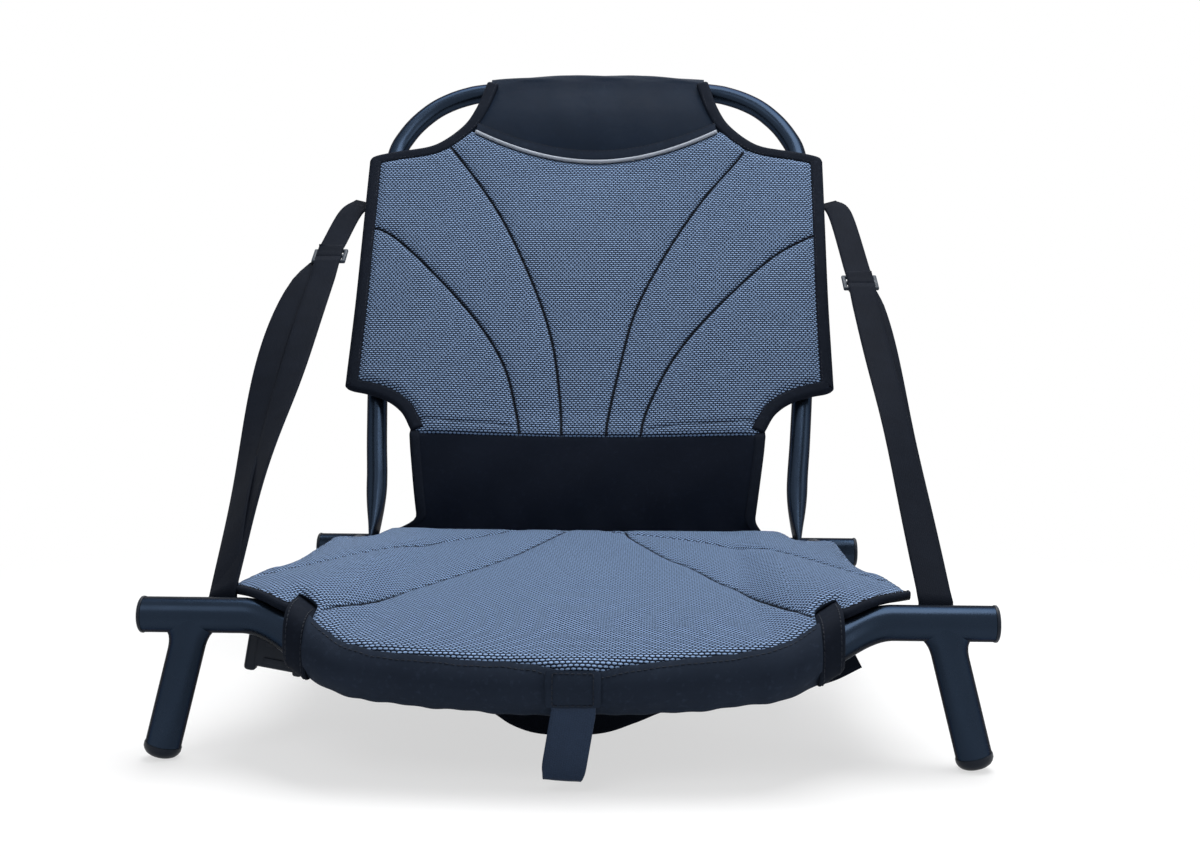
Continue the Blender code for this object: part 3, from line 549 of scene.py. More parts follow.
def sag(x, along):
    across = np.clip(1 - (x / 0.190) ** 2, 0, 1) ** 2
    return 0.010 * across * np.clip((along - 0.06) / 0.08, 0, 1) * np.clip((0.500 - along) / 0.080, 0, 1)


def pipe_height(x):
    return PIPE_MID + (PIPE_END - PIPE_MID) * (x / PIPE_X) ** 2


def back_surface(p, h):
    """Backrest panel: across and along, lifted by h from its middle."""
    return back_point(p[:, 0], p[:, 1], PANEL_OFF - sag(p[:, 0], p[:, 1]) + h)


SEAT_T, SEAT_SIDE_Z = 0.005, 0.1222
ROLL_R = HEM_R + 0.0012 + SEAT_T / 2
REAR_Y_MID = 0.312
SEAT_EDGE = mm((20, 245), (40, 241.5), (92, 235), (125, 223.5), (160, 221.5), (240, 225.5), (312, 226.5))
LOBE_IN, LOBE_TIP = (0.194, -0.018), (0.245, 0.020)
BAND_X = (0.1745, 0.1915)


def seat_middle(p):
    """Middle of the seat panel: p is across and the way forward from the crease, round the front roll."""
    x, t = p[:, 0], p[:, 1]
    ax = abs(x)
    bar = bar_axis(x)
    reach = REAR_Y_MID - (bar[:, 1] - Y_TIP)
    y = REAR_Y_MID - np.minimum(t, reach)
    k = np.clip(t / reach, 0, 1)
    step = np.clip((ax - 0.162) / 0.032, 0, 1)
    power = 1 + 3 * np.clip((ax - 0.13) / 0.032, 0, 1) ** 2 + 8 * step * step * (3 - 2 * step)
    z = SEAT_SIDE_Z + (bar[:, 2] + ROLL_R - SEAT_SIDE_Z) * k ** power
    over = np.maximum(ax - RAIL_X, 0)
    wrap = BAR_R + 2 * GAP + CLOTH + SEAT_T / 2
    curl = wrap - np.sqrt(np.maximum(wrap ** 2 - np.minimum(over, wrap * 0.93) ** 2, 0))
    near = np.clip((y - 0.085) / 0.05, 0, 1)
    z = z - curl * near - 0.003 * (over / 0.036) * (1 - near)
    z = z - 0.0026 * np.clip((ax - 0.180) / 0.015, 0, 1) * np.clip((0.045 - y) / 0.045, 0, 1)
    angle = np.maximum(t - reach, 0) / ROLL_R
    y = Y_TIP + y - ROLL_R * np.sin(angle)
    z = z - ROLL_R * (1 - np.cos(angle))
    return columns(x, y, z)


def seat_surface(p, h):
    e = 0.0008
    dx = seat_middle(p + (e, 0)) - seat_middle(p - (e, 0))
    dt = seat_middle(p + (0, e)) - seat_middle(p - (0, e))
    normal = unit(np.cross(dt, dx))
    normal *= np.where(normal[:, 2:] + 0.3 * -normal[:, 1:2] < 0, -1, 1)
    return seat_middle(p) + normal * np.broadcast_to(np.asarray(h, float), len(p))[:, None]


# Quilted panels
def segments_distance(p, lines):
    """Distance of each point to the nearest of the lines."""
    best = np.full(len(p), 9.0)
    for line in lines:
        a, b = line[:-1], line[1:]
        ab = b - a
        for s, d in zip(a, ab):
            t = np.clip(((p - s) @ d) / max(d @ d, 1e-12), 0, 1)
            best = np.minimum(best, np.linalg.norm(p - s - t[:, None] * d, axis=1))
    return best


def inside(p, poly):
    x, y = p[:, 0], p[:, 1]
    hit = np.zeros(len(p), bool)
    for (x0, y0), (x1, y1) in zip(poly, np.roll(poly, -1, axis=0)):
        if y0 != y1:
            cross = ((y0 > y) != (y1 > y)) & (x < (x1 - x0) * (y - y0) / (y1 - y0) + x0)
            hit ^= cross
    return hit


def shifted(line, d):
    t = unit(np.gradient(line, axis=0))
    return line + columns(-t[:, 1], t[:, 0]) * d


SEAM_W = 0.0026  # width of a sewn channel
STEP = 0.0042  # spacing of a panel's points


def net(outline, seams):
    """Triangles over an outline, with rows of points along each seam and beside it."""
    whole = np.vstack([outline, outline[:1]])
    rim = even(whole, int(lengths(whole)[-1] / STEP))[:-1]
    points, edges = [rim], [(i, (i + 1) % len(rim)) for i in range(len(rim))]
    count = len(rim)
    rim_loop = [np.vstack([rim, rim[:1]])]
    used = []
    for line in seams:
        n = max(int(lengths(line)[-1] / (STEP * 0.8)), 4)
        for off in (0.0, -0.5, 0.5, -1.0, 1.0):
            row = shifted(even(line, n), off * SEAM_W)
            ok = inside(row, rim) & (segments_distance(row, rim_loop) > STEP * 0.35)
            if used:
                ok &= segments_distance(row, used) > STEP * 0.35
            ids = np.cumsum(ok) - 1 + count
            edges += [(int(ids[i]), int(ids[i + 1])) for i in range(n - 1) if ok[i] and ok[i + 1]]
            points.append(row[ok])
            count += int(ok.sum())
        used.append(np.vstack([shifted(even(line, n), -SEAM_W), shifted(even(line, n), SEAM_W)[::-1]]))
    lo, hi = rim.min(0), rim.max(0)
    rows = []
    for i, y in enumerate(np.arange(lo[1], hi[1], STEP * 0.87)):
        xs = np.arange(lo[0] + (i % 2) * STEP / 2, hi[0], STEP)
        rows.append(columns(xs, np.full(len(xs), y)))
    lattice = np.vstack(rows)
    lattice = lattice[inside(lattice, rim)]
    lattice = lattice[segments_distance(lattice, rim_loop) > STEP * 0.55]
    lattice = lattice[segments_distance(lattice, seams) > SEAM_W + STEP * 0.5]
    points.append(lattice)
    flat = np.vstack(points)
    out = delaunay_2d_cdt([Vector(p) for p in flat], edges, [list(range(len(rim)))], 1, 1e-6)
    verts = np.array([tuple(v) for v in out[0]])
    faces = [tuple(f) for f in out[2] if len(f) == 3]
    tri = np.array(faces)
    a, b, c = verts[tri[:, 0]], verts[tri[:, 1]], verts[tri[:, 2]]
    area = (b[:, 0] - a[:, 0]) * (c[:, 1] - a[:, 1]) - (b[:, 1] - a[:, 1]) * (c[:, 0] - a[:, 0])
    faces = [f if s > 0 else f[::-1] for f, s in zip(faces, area) if abs(s) > 1e-12]
    return verts, faces, rim


def border(faces):
    """Edges used by one face only, each in its face's own direction."""
    seen = dict.fromkeys((a, b) for f in faces for a, b in zip(f, f[1:] + f[:1]))
    return [(a, b) for a, b in seen if (b, a) not in seen]


def inflated(points, faces, held, limit):
    """How far each point of a pinned cloth moves when it is blown up gently from behind."""
    mesh = bpy.data.meshes.new("blown")
    mesh.from_pydata([tuple(p) for p in points], [], faces)
    obj = bpy.data.objects.new("blown", mesh)
    bpy.context.scene.collection.objects.link(obj)
    group = obj.vertex_groups.new(name="held")
    group.add([int(i) for i in np.nonzero(held)[0]], 1.0, "REPLACE")
    mod = obj.modifiers.new("cloth", "CLOTH")
    cfg = mod.settings
    cfg.vertex_group_mass = "held"
    cfg.quality = 6
    cfg.mass = 0.25
    cfg.tension_stiffness = cfg.compression_stiffness = 18.0
    cfg.shear_stiffness = 8.0
    cfg.bending_stiffness = 0.6
    cfg.use_pressure = True
    cfg.uniform_pressure_force = 4.0
    cfg.effector_weights.gravity = 0.0
    mod.collision_settings.use_collision = False
    scene = bpy.context.scene
    for step in range(1, 21):
        scene.frame_set(step)
    state = obj.evaluated_get(bpy.context.evaluated_depsgraph_get())
    moved = np.array([v.co for v in state.data.vertices]) - points
    scene.frame_set(1)
    bpy.data.objects.remove(obj)
    far = np.linalg.norm(moved, axis=1)
    return moved * np.minimum(1, limit / np.maximum(far, 1e-9))[:, None]


def smooth_field(values, faces, rounds):
    """Values averaged with their neighbours' a few times."""
    pairs = np.array([(a, b) for f in faces for a, b in zip(f, f[1:] + f[:1])])
    n = len(values)
    for _ in range(rounds):
        total, count = values.copy(), np.ones(n)
        np.add.at(total, pairs[:, 0], values[pairs[:, 1]])
        np.add.at(count, pairs[:, 0], 1)
        values = total / count
    return values


def quilt(name, outline, seams, surface, thick, body, mat, replaces, front_up, puff, ridge, depth=0.0021,
          pinch=0.5, taped=None, seam_tone=1.1, creases=()):
    """Padded panel: woven front that swells between its sewn channels, plain cloth behind, closed rim."""
    flat, faces, rim = net(outline, seams + list(creases))
    if not front_up:
        faces = [f[::-1] for f in faces]
    to_seam = segments_distance(flat, seams)
    to_rim = segments_distance(flat, [np.vstack([rim, rim[:1]])])
    rise = np.minimum(np.minimum(to_seam, to_rim) / 0.016, 1.0)
    swell = puff * (1 - (1 - rise) ** 2)
    start = surface(flat, thick * 0.5)
    moved = inflated(start, faces, (to_seam < SEAM_W * 1.05) | (to_rim < 0.006), 0.006)
    out = unit(surface(flat, thick * 0.5 + 0.001) - start)
    lift = smooth_field((moved * out).sum(1), faces, 3)
    top = np.percentile(lift, 98)
    swell = puff * (0.35 * (1 - (1 - rise) ** 2) + 0.65 * np.clip(lift / max(top, 1e-6), 0, 1.15))
    x, y = flat.T
    pucker = (0.00022 * np.sin(x * 2 * math.pi / 0.0092 + 3 * np.sin(y * 40))
              * np.sin(y * 2 * math.pi / 0.0105 + 2 * np.sin(x * 34))
              * np.exp(-np.minimum(to_seam, to_rim) / 0.010))
    groove = -depth * np.exp(-(to_seam / (SEAM_W * 0.42)) ** 2)
    tone = to_seam * seam_tone
    if creases:
        to_crease = segments_distance(flat, creases)
        groove -= 0.55 * depth * np.exp(-(to_crease / (SEAM_W * 0.60)) ** 2)
        # Painted shade: along the creases the mesh is partly darkened, less than at the seams.
        tone = np.minimum(tone, to_crease + 0.00135)
    edge = np.clip(to_rim / 0.005, 0, 1)
    if taped is not None:
        edge *= np.clip((segments_distance(flat, taped) - 0.0052) / 0.0055, 0, 1)
    half = thick * 0.5 * (pinch + (1 - pinch) * edge)
    high = half + swell * edge + pucker + groove * edge + ridge(flat)
    low = -half + 0.25 * groove * edge
    front, back = surface(flat, high), surface(flat, low)
    n = len(flat)
    all_faces = list(faces) + [tuple(i + n for i in f[::-1]) for f in faces]
    for a, b in border(faces):
        all_faces.append((b, a, a + n, b + n))
    both = np.vstack([flat, flat])
    uvs = [tuple(both[i]) for f in all_faces for i in f]
    kinds = [0] * len(faces) + [1] * (len(all_faces) - len(faces))
    obj = make(name, np.vstack([front, back]), all_faces, uvs, mat, body, replaces, "mesh",
               ("black_cloth", kinds))
    seam = obj.data.attributes.new("seam", "FLOAT", "POINT")
    seam.data.foreach_set("value", np.concatenate([tone, np.full(n, 1.0)]))


# Backrest panel: its outline runs half way under the binding
edge = spline(BACK_EDGE, 240)
edge_t = unit(np.gradient(edge, axis=0))
edge_in = columns(-edge_t[:, 1], edge_t[:, 0])
tuck = edge + edge_in * BINDING_W * 0.45
side = tuck[(tuck[:, 1] > MESH_BOTTOM) & (tuck[:, 1] < pipe_height(tuck[:, 0]) - 0.001)]
top_x = np.linspace(side[-1][0], 0, 24)[1:]
top = columns(top_x, pipe_height(top_x) - 0.0004)
right = np.vstack([(side[0][0], MESH_BOTTOM), side, top])
back_outline = np.vstack([right, (right * (-1, 1))[-2::-1]])
back_seams = [spline(s, 40) for s in (
    mm((-155, 460), (-149, 450), (-118, 406), (-88, 355), (-57, 284), (-37, 222), (-27, 158.5),
       (-23.5, 110)),
    mm((152, 444), (145, 433), (110, 386), (74, 324), (44.5, 258), (29, 191), (19, 135), (17.5, 110)),
    mm((-236, 353), (-228, 351), (-199.5, 337), (-156, 294), (-109, 238.5), (-81, 190.5), (-67, 140),
       (-62, 110)),
    mm((232, 344), (216, 338), (174, 310), (113, 245.5), (78, 196), (55, 143), (49, 110)))]
back_creases = [spline(s, 40) for s in (mm((-163, 131), (-140, 129.5), (-110, 127.5), (-88, 127),
                                           (-70, 124.5)),
                                        mm((60, 124), (78, 126.5), (104, 128), (134, 129), (160, 131)))]


def back_ridge(p):
    """Turned-in seam just above the panel's lower edge."""
    past = p[:, 1] - MESH_BOTTOM - 0.0065
    return 0.0009 * np.exp(-((past + 0.003) / 0.0022) ** 2) - 0.0010 * np.exp(-(past / 0.0011) ** 2)


quilt("backrest_mesh_panel", back_outline, back_seams, back_surface, 0.0072, "backrest", "painted_shade_back_mesh",
      "backrest_panel", True, 0.0042, back_ridge, taped=[side, side * (-1, 1)], pinch=0.42,
      creases=back_creases)

# Seat panel, in plan: across, and forward from the crease
ROLL_LINE = ((-0.1738, -0.158, -0.142, -0.126, -0.081, -0.036, -0.017, -0.004, 0.009, 0.021, 0.029, 0.047,
              0.072, 0.105, 0.130, 0.150, 0.1738),
             (2, 11, 21, 31, 27, 26, 31, 41, 50, 50, 43, 34, 25, 25, 20, 10, 2))


def front_t(x):
    """Distance from the crease forward to the top of the front bar."""
    return REAR_Y_MID - (bar_axis(x)[..., 1] - Y_TIP)


def lobe_edge(x):
    """How far back from the front bar's ends the edge of a front corner lies."""
    k = np.clip((x - LOBE_IN[0]) / (LOBE_TIP[0] - LOBE_IN[0]), 0, 1)
    return LOBE_IN[1] + (LOBE_TIP[1] - LOBE_IN[1]) * k ** 1.5


def roll_angle(x):
    """How far the mesh reaches round the front roll before the hem starts; it dips over the pull loop."""
    return np.radians(np.interp(x, *ROLL_LINE))


hem_x = np.linspace(-0.1738, 0.1738, 100)
front_line = columns(hem_x, front_t(hem_x) + ROLL_R * roll_angle(hem_x))
behind_band = [(0.1742, front_t(0.1742) - 0.023), (0.1908, front_t(0.1908) - 0.026)]
lobe_x = np.linspace(0.1925, 0.2445, 14)
lobe_line = columns(lobe_x, REAR_Y_MID - lobe_edge(lobe_x) - 0.0030)
side_y = np.linspace(0.026, 0.296, 40)
side_line = columns(np.interp(side_y, *SEAT_EDGE.T), REAR_Y_MID - side_y)
rear_line = mm((224, 12), (221, 18), (214, 48), (207, 50), (190, 50), (185, 42), (180, 8), (175, 1),
               (90, 0), (0, 0))
half_seat = np.vstack([behind_band, lobe_line, side_line, rear_line])
seat_outline = np.vstack([front_line, half_seat, (half_seat * (-1, 1))[-2::-1]])
seat_seams = [spline(s, 40) for s in (
    mm((-13, 0), (-17, 9), (-27, 33), (-41, 67), (-55, 100), (-74, 136), (-95, 172), (-113, 203),
       (-132, 238), (-146, 276), (-156, 298), (-170, 322)),
    mm((36, 0), (41, 30), (58, 71), (74, 108), (90, 134), (100, 154), (114, 188), (128, 214), (144, 260),
       (158, 300), (172, 326)),
    mm((-48, -3), (-57, 3), (-95, 37), (-130, 68), (-158, 120), (-184, 172), (-204, 216), (-232, 262)),
    mm((20, 0), (25, 11), (86, 37), (128, 68), (160, 112), (186, 164), (208, 214), (232, 256)))]


def seat_ridge(p):
    """The turned rear edge, and the flats where the folded hoop comes down on the seat."""
    x, t = p.T
    flats = np.exp(-((abs(x) - 0.200) / 0.022) ** 2) * np.exp(-((t - 0.070) / 0.045) ** 2)
    return -0.0012 * np.exp(-((t - 0.004) / 0.003) ** 2) - 0.0020 * flats


quilt("seat_mesh_panel", seat_outline, seat_seams, seat_surface, 0.0048, "base", "mesh", "seat_panel",
      False, 0.0048, seat_ridge, depth=0.0019, seam_tone=1.5)


# Backrest trim
def tape_profile(width, thick):
    """Tape folded over an edge: (in from the edge, through), round outside, thin where it is sewn."""
    top = []
    for k in np.linspace(0, 1, 7):
        full = min(1.0, 0.30 + 1.9 * k) * (1 - 0.16 * max(k - 0.6, 0) / 0.4)
        top.append((width * k ** 1.4, thick / 2 * full))
    top.append((width + 0.0002, thick / 2 * 0.62))
    return np.array(top + [(x, -y) for x, y in reversed(top)])


for label, sx in SIDES:
    prof = tape_profile(BINDING_W, BINDING_T + 0.0008)
    run = lengths(edge)
    rings = []
    for (x, a), (nx, na), s in zip(edge, edge_in, run):
        slack = 0.00028 * math.sin(s / 0.0105 + sx) + 0.00022 * math.sin(s / 0.0043 + 1.3)
        w = prof[:, 0] * (1 + 6 * slack)
        px, pa = x + nx * w, a + na * w
        p = columns(sx * px, pa)
        rings.append(back_surface(p, prof[:, 1] * (1 + 90 * slack)))
    skin(f"backrest_tape_{label}", rings, "tape", "backrest", f"backrest_binding_{label}",
         around=np.append(lengths(prof), lengths(prof)[-1] + BINDING_T))
    row = edge + edge_in * (BINDING_W - 0.0018)
    line = back_surface(row * (sx, 1), BINDING_T / 2 * 0.90)
    stitches(f"backrest_tape_stitches_{label}", line, BACK_N, "backrest", radius=0.00038)

pipe_x = np.linspace(-PIPE_X - 0.004, PIPE_X + 0.004, 90)
pipe_line = back_surface(columns(pipe_x, pipe_height(pipe_x)), 0.0040)
skin("grey_piping", tube(pipe_line, PIPE_R, 12, BACK_N), "pipe", "backrest", "piping")

# Top sleeve: up the front, over the hoop's arch and down the back, with a folded hem above the piping
arch = spline(HOOP_LINE[-6:], 40)
SLEEVE_MID = HOOP_R + GAP + 0.0018
sleeve_rows = []
for u in np.linspace(-1, 1, 61):
    profile = []
    x_top = u * (TAB_TOP_X - 0.0035)
    apex = float(np.interp(abs(x_top), arch[::-1, 0], arch[::-1, 1]))
    x_low = u * (PIPE_X + 0.0110)
    start = float(pipe_height(x_low)) + PIPE_R * 0.8
    ease = 0.0011 * math.sin(7.0 * u + 0.6) * math.cos(11 * u) * (1 - u * u)
    for k in np.linspace(0, 1, 26):
        along = start + (apex - start) * k
        off = (PANEL_OFF - sag(x_low, along)) * (1 - k) + SLEEVE_MID * k
        off += 0.0030 * math.sin(math.pi * min(k * 1.15, 1)) * (1 - u * u) ** 0.6
        off += ease * math.sin(math.pi * k)
        profile.append(back_point(x_low + (x_top - x_low) * k, along, off))
    for a in np.linspace(0.12, math.pi, 16):
        r = SLEEVE_MID + 0.0005 * math.sin(5 * a + 9 * u)
        profile.append(back_point(x_top, apex + r * math.sin(a), r * math.cos(a)))
    for d in np.linspace(0.006, 0.060, 10):
        profile.append(back_point(x_top * (1 + d / 3), apex - d,
                                  -SLEEVE_MID + 0.0012 * math.sin(d * 160 + 5 * u)))
    sleeve_rows.append(profile)
grid = np.array(sleeve_rows)
sleeve, _ = slab("top_satin_sleeve", grid, 0.0028, BACK_N, "satin", "backrest", "top_sleeve")
fold = []
for x in np.linspace(-PIPE_X - 0.003, PIPE_X + 0.003, 76):
    rows = []
    for w, h in ((0.0010, 0.0012), (0.0016, 0.0028), (0.0040, 0.0031), (0.0090, 0.0031), (0.0112, 0.0029),
                 (0.0118, 0.0021), (0.0112, 0.0012)):
        a = float(pipe_height(x)) + PIPE_R * 0.6 + w
        base = 0.0030 * math.sin(math.pi * min(w / 0.075 * 1.15, 1)) * max(1 - (x / PIPE_X) ** 2, 0) ** 0.6
        rows.append(back_surface(np.array([(x, a)]), h + base)[0])
    fold.append(rows)
skin("top_sleeve_hem", fold, "black_cloth", "backrest", slot="satin", sharp=50)
fold = np.array(fold)
stitches("top_sleeve_stitches", fold[:, 4] + BACK_N * 0.0001, BACK_N, "backrest", slot="satin",
         radius=0.0004)

# Side sleeves round the hoop behind the panel
hoop_fine = spline(HOOP_LINE, 300)
for label, sx in SIDES:
    part = hoop_fine[(hoop_fine[:, 1] > 0.172) & (hoop_fine[:, 1] < 0.434)]
    path = back_point(sx * part[:, 0], part[:, 1], 0.0)
    run = lengths(path)
    r = HOOP_R + 0.0017 + 0.0004 * np.sin(run / 0.011) + 0.0003 * np.sin(run / 0.0047 + 1)
    r[0] = r[-1] = HOOP_R + 0.0004
    skin(f"hoop_pocket_{label}", tube(path, r, 28, BACK_N), "black_cloth", "backrest",
         f"side_sleeve_{label}")

# Tubes
tube_x = np.concatenate([[-TIP_X], np.linspace(-0.29, 0.29, 150), [TIP_X]])
skin("front_crossbar_tube", tube(bar_axis(tube_x), BAR_R, 48), "tube", "base", "front_crossbar", sharp=50)
prof = [(0, BAR_R), (2 * REAR_X, BAR_R)]
skin("rear_crossbar_tube", turned((-REAR_X, REAR_Y, AXIS_Z), (1, 0, 0), prof, 48), "tube", "base",
     "rear_crossbar", sharp=50)
for label, sx in SIDES:
    for row, end_x, y in (("front", TIP_X, Y_TIP), ("rear", REAR_X, REAR_Y)):
        prof = mm((-4, -1.6), (0.3, -1.6), (0.3, 0.3), (1.2, 0.5), (2.1, 0.3), (2.9, -0.7), (3.2, -2),
                  (3.2, -3.4), (2.3, -4.2), (2.1, -8.2), (1.6, -10.9), (1.4, -12.2)) + (0, BAR_R)
        skin(f"{row}_bar_cap_{label}", turned((sx * end_x, y, AXIS_Z), (sx, 0, 0), prof, 48), "plug",
             "base", f"{row}_bar_plug_{label}", sharp=55)

REAR_LEG_X = REAR_X - REAR_LEG_INSET
ang = np.linspace(0, 2 * math.pi, 48, endpoint=False)
for row, y, top_x in (("front", Y_TIP, LEG_TOP_X), ("rear", REAR_Y, REAR_LEG_X)):
    for label, sx in SIDES:
        top_p = np.array((sx * top_x, y, AXIS_Z))
        foot_p = np.array((sx * (top_x + LEG_FOOT_X - LEG_TOP_X), y, 0.0))
        axis = unit(foot_p - top_p)
        s1 = np.array((0.0, 1.0, 0.0))
        s2 = np.cross(s1, axis)
        length = np.linalg.norm(foot_p - top_p)
        end = length - FOOT_H - BAR_R * abs(axis[0]) / abs(axis[2])
        ring_dir = np.cos(ang)[:, None] * s1 + np.sin(ang)[:, None] * s2
        rings = []
        beside = (ring_dir @ s2) ** 2
        for flare, drop in mm((3.6, 0), (2.6, 1.2), (1.7, 2.8), (0.9, 5.0), (0.3, 8.0), (0, 11.5)):
            off = ring_dir * (BAR_R - 0.0002 + (flare + 0.0002) * beside)[:, None]
            dy = np.clip(abs(off[:, 1]), 0, BAR_R * 0.995)
            drop_z = np.sqrt(BAR_R ** 2 - dy ** 2)
            s = (drop_z + off[:, 2]) / -axis[2] + drop - 0.0006
            rings.append(top_p + off + axis * s[:, None])
        low = rings[-1]
        for k in np.linspace(0.15, 1, 12):
            flat = top_p + axis * end + ring_dir * BAR_R
            rings.append(low * (1 - k) + flat * k)
        skin(f"{row}_leg_tube_{label}", rings, "tube", "base", f"{row}_leg_{label}", sharp=50)
        prof = mm((-4, -1.6), (0.2, -1.6), (0.2, 0.3), (1.2, 0.6), (3.6, 0.5), (5.6, -0.4), (7.4, -1.9),
                  (8.6, -4), (9.2, -7), (9.4, -9.7), (9.4, -12.2)) + (0, BAR_R)
        rings = turned(top_p + axis * end, axis, prof, 48)
        rings[:, :, 2] = np.maximum(rings[:, :, 2], 0.0)
        skin(f"{row}_foot_cap_{label}", rings, "plug", "base", f"{row}_foot_{label}", sharp=55)

for label, sx in SIDES:
    start = (sx * RAIL_X, Y_TIP + BAR_R * 0.55, AXIS_Z)
    prof = [(0, BAR_R), (REAR_Y - start[1] - BAR_R * 0.4, BAR_R)]
    skin(f"side_rail_tube_{label}", turned(start, (0, 1, 0), prof, 48), "tube", "base",
         f"side_rail_{label}", sharp=50)
    cover = np.array([(sx * RAIL_X, Y_TIP + y, AXIS_Z) for y in np.linspace(0.052, 0.252, 60)])
    run = lengths(cover)
    r = BAR_R + 0.0022 + 0.0004 * np.sin(run / 0.013 + 1) + 0.0003 * np.sin(run / 0.0052)
    r[0] = r[-1] = BAR_R + 0.0004
    skin(f"rail_pocket_{label}", tube(cover, r, 32), "black_cloth", "base", f"rail_sleeve_{label}")

# Hoop: round tube whose two feet are pressed flat round the hinge bolts
TAB_T, TAB_W = 0.0021, 0.0130
half_line = hoop_fine[1:]
line = np.vstack([half_line, (half_line * (-1, 1))[-2::-1]])
tip = np.array([(line[0][0], -TAB_W * math.cos(a)) for a in np.linspace(0.05, math.pi / 2 - 0.05, 10)])
line = np.vstack([tip, line, (tip * (-1, 1))[::-1]])
t2 = unit(np.gradient(line, axis=0))
ring_a = np.linspace(0, 2 * math.pi, 32, endpoint=False)
rings = []
for (x, along), (tx, ta) in zip(line, t2):
    k = math.sin(min(max((along - 0.013) / 0.059, 0.0), 1.0) * math.pi / 2)
    a = TAB_T + (HOOP_R - TAB_T) * k
    b = TAB_W + (HOOP_R - TAB_W) * k
    if along < 0:
        b = math.sqrt(max(TAB_W ** 2 - along ** 2, 0.0)) + 0.0006
    power = 0.45 + 0.55 * k
    side = unit(back_point(ta, -tx, 0) - back_point(0, 0, 0))
    c, s = np.cos(ring_a), np.sin(ring_a)
    c, s = np.sign(c) * abs(c) ** power, np.sign(s) * abs(s) ** power
    rings.append(back_point(x, along, 0) + a * c[:, None] * side + b * s[:, None] * BACK_N)
skin("backrest_hoop_tube", rings, "tube", "backrest", "backrest_hoop", sharp=55)

# Hinge bolts with domed heads
for label, sx in SIDES:
    prof = mm((-27.5, 3), (0.3, 3), (0.3, 7), (1.6, 7), (2.7, 6.2), (3.6, 4.8), (4.1, 3.4), (4.1, 2.2),
              (2.4, 2.1), (2.3, 0.4))
    rings = turned((sx * (RAIL_X + BAR_R), HINGE_Y, HINGE_Z), (sx, 0, 0), prof, 30)
    skin(f"hinge_bolt_head_{label}", rings, "steel", "base", f"hinge_bolt_{label}", sharp=40)

# Front hem, bands and lobe tape
def hem_point(x, angle, lift=0.0):
    """Point of the hem's outside; the angle runs from the top, over the front and under the bar."""
    x, angle = np.broadcast_arrays(np.asarray(x, float), angle)
    e = 0.001
    slope = (bar_axis(x + e) - bar_axis(x - e)) / (2 * e)
    start = roll_angle(x) - 0.07
    turn = np.mod(angle + 0.9, 2 * math.pi) - 0.9
    rise = np.clip((turn - start) / 0.05, 0, 1)
    fall = np.clip((turn - 1.15) / 1.35, 0, 1)
    full = rise * (1 - fall * fall * (3 - 2 * fall))
    wave = 0.00035 * np.sin(x * 140 + 1) + 0.00030 * np.sin(x * 310 + angle)
    wave += 0.00030 * np.sin(3 * angle + x * 60)
    hang = 0.0014 * np.exp(-((turn - 3.0) / 0.5) ** 2) * (1 - 0.6 * (x / 0.18) ** 4)
    r = HEM_R + 0.0008 + 0.0048 * full + wave + hang + lift
    stretch_y, stretch_z = np.sqrt(1 + slope[..., 1] ** 2), np.sqrt(1 + slope[..., 2] ** 2)
    off = columns(np.zeros_like(x), -r * np.sin(angle) * stretch_y, r * np.cos(angle) * stretch_z)
    return bar_axis(x) + off


hem_angles = np.unique([*np.linspace(-0.6, 1.2, 50), *np.linspace(1.2, 2 * math.pi - 0.6, 60)])[:-1]
rings = [hem_point(x, hem_angles) for x in np.linspace(-0.1752, 0.1752, 170)]
skin("front_hem_cloth", rings, "black_cloth", "base", "seat_front_hem")
hem_row = np.linspace(-0.172, 0.172, 160)
hem_out = columns(np.zeros(160), -np.sin(roll_angle(hem_row) + 0.25), np.cos(roll_angle(hem_row) + 0.25))
stitches("front_hem_stitches", hem_point(hem_row, roll_angle(hem_row) + 0.25, 0.0002), hem_out, "base",
         slot="black_cloth", radius=0.0004)

# End bands: tape from the seat's corner, over the front of the hem and round under the bar
BAND_SIDE = mm((30.5, 23.5), (20, 24), (9, 24), (-2, 23.2), (-12.5, 19.5), (-19.5, 11.5), (-22.2, 0),
               (-21.2, -11), (-16.5, -17), (-8, -19.2), (4, -19), (15, -15), (21.5, -5), (25.5, 9),
               (31, 20))
for label, sx in SIDES:
    loop = spline(np.vstack([BAND_SIDE, BAND_SIDE[:1]]), 70)[:-1]
    rings = []
    for k in (-1.0, -0.97, -0.88, -0.6, -0.2, 0.2, 0.6, 0.88, 0.97, 1.0):
        x = sx * (sum(BAND_X) / 2 + k * ((BAND_X[1] - BAND_X[0]) / 2 + 0.0007))
        c = bar_axis(x)
        inset = 1 - 0.055 * max(abs(k) - 0.85, 0) / 0.15
        rings.append([c + (0.0, y * inset + 0.0002 * math.sin(9 * k), z * inset) for y, z in loop])
    skin(f"hem_end_tape_{label}", rings, "tape", "base", f"hem_band_{label}", sharp=50)
    front = loop[6:46]
    for n_row, off in enumerate((-0.0062, 0.0062)):
        c = bar_axis(sx * (sum(BAND_X) / 2 + off))
        ray = columns(np.zeros(len(front)), front[:, 0], front[:, 1])
        stitches(f"hem_end_stitches_{label}_{n_row}", c + ray * 1.006, unit(ray), "base", pitch=0.0038)
    lob = np.linspace(0.1915, 0.2452, 40)
    ly = lobe_edge(lob)
    prof = tape_profile(0.0085, 0.0062)
    rows = []
    for x, y in zip(lob, ly):
        pts = columns(np.full(len(prof), sx * x), REAR_Y_MID - y + 0.0002 - prof[:, 0])
        rows.append(seat_surface(pts, prof[:, 1] * 0.96 + 0.0004))
    skin(f"lobe_tape_{label}", rows, "tape", "base", f"lobe_binding_{label}")
    pts = columns(sx * lob, REAR_Y_MID - ly - 0.0068)
    stitches(f"lobe_stitches_{label}", seat_surface(pts, 0.0034), UP, "base")

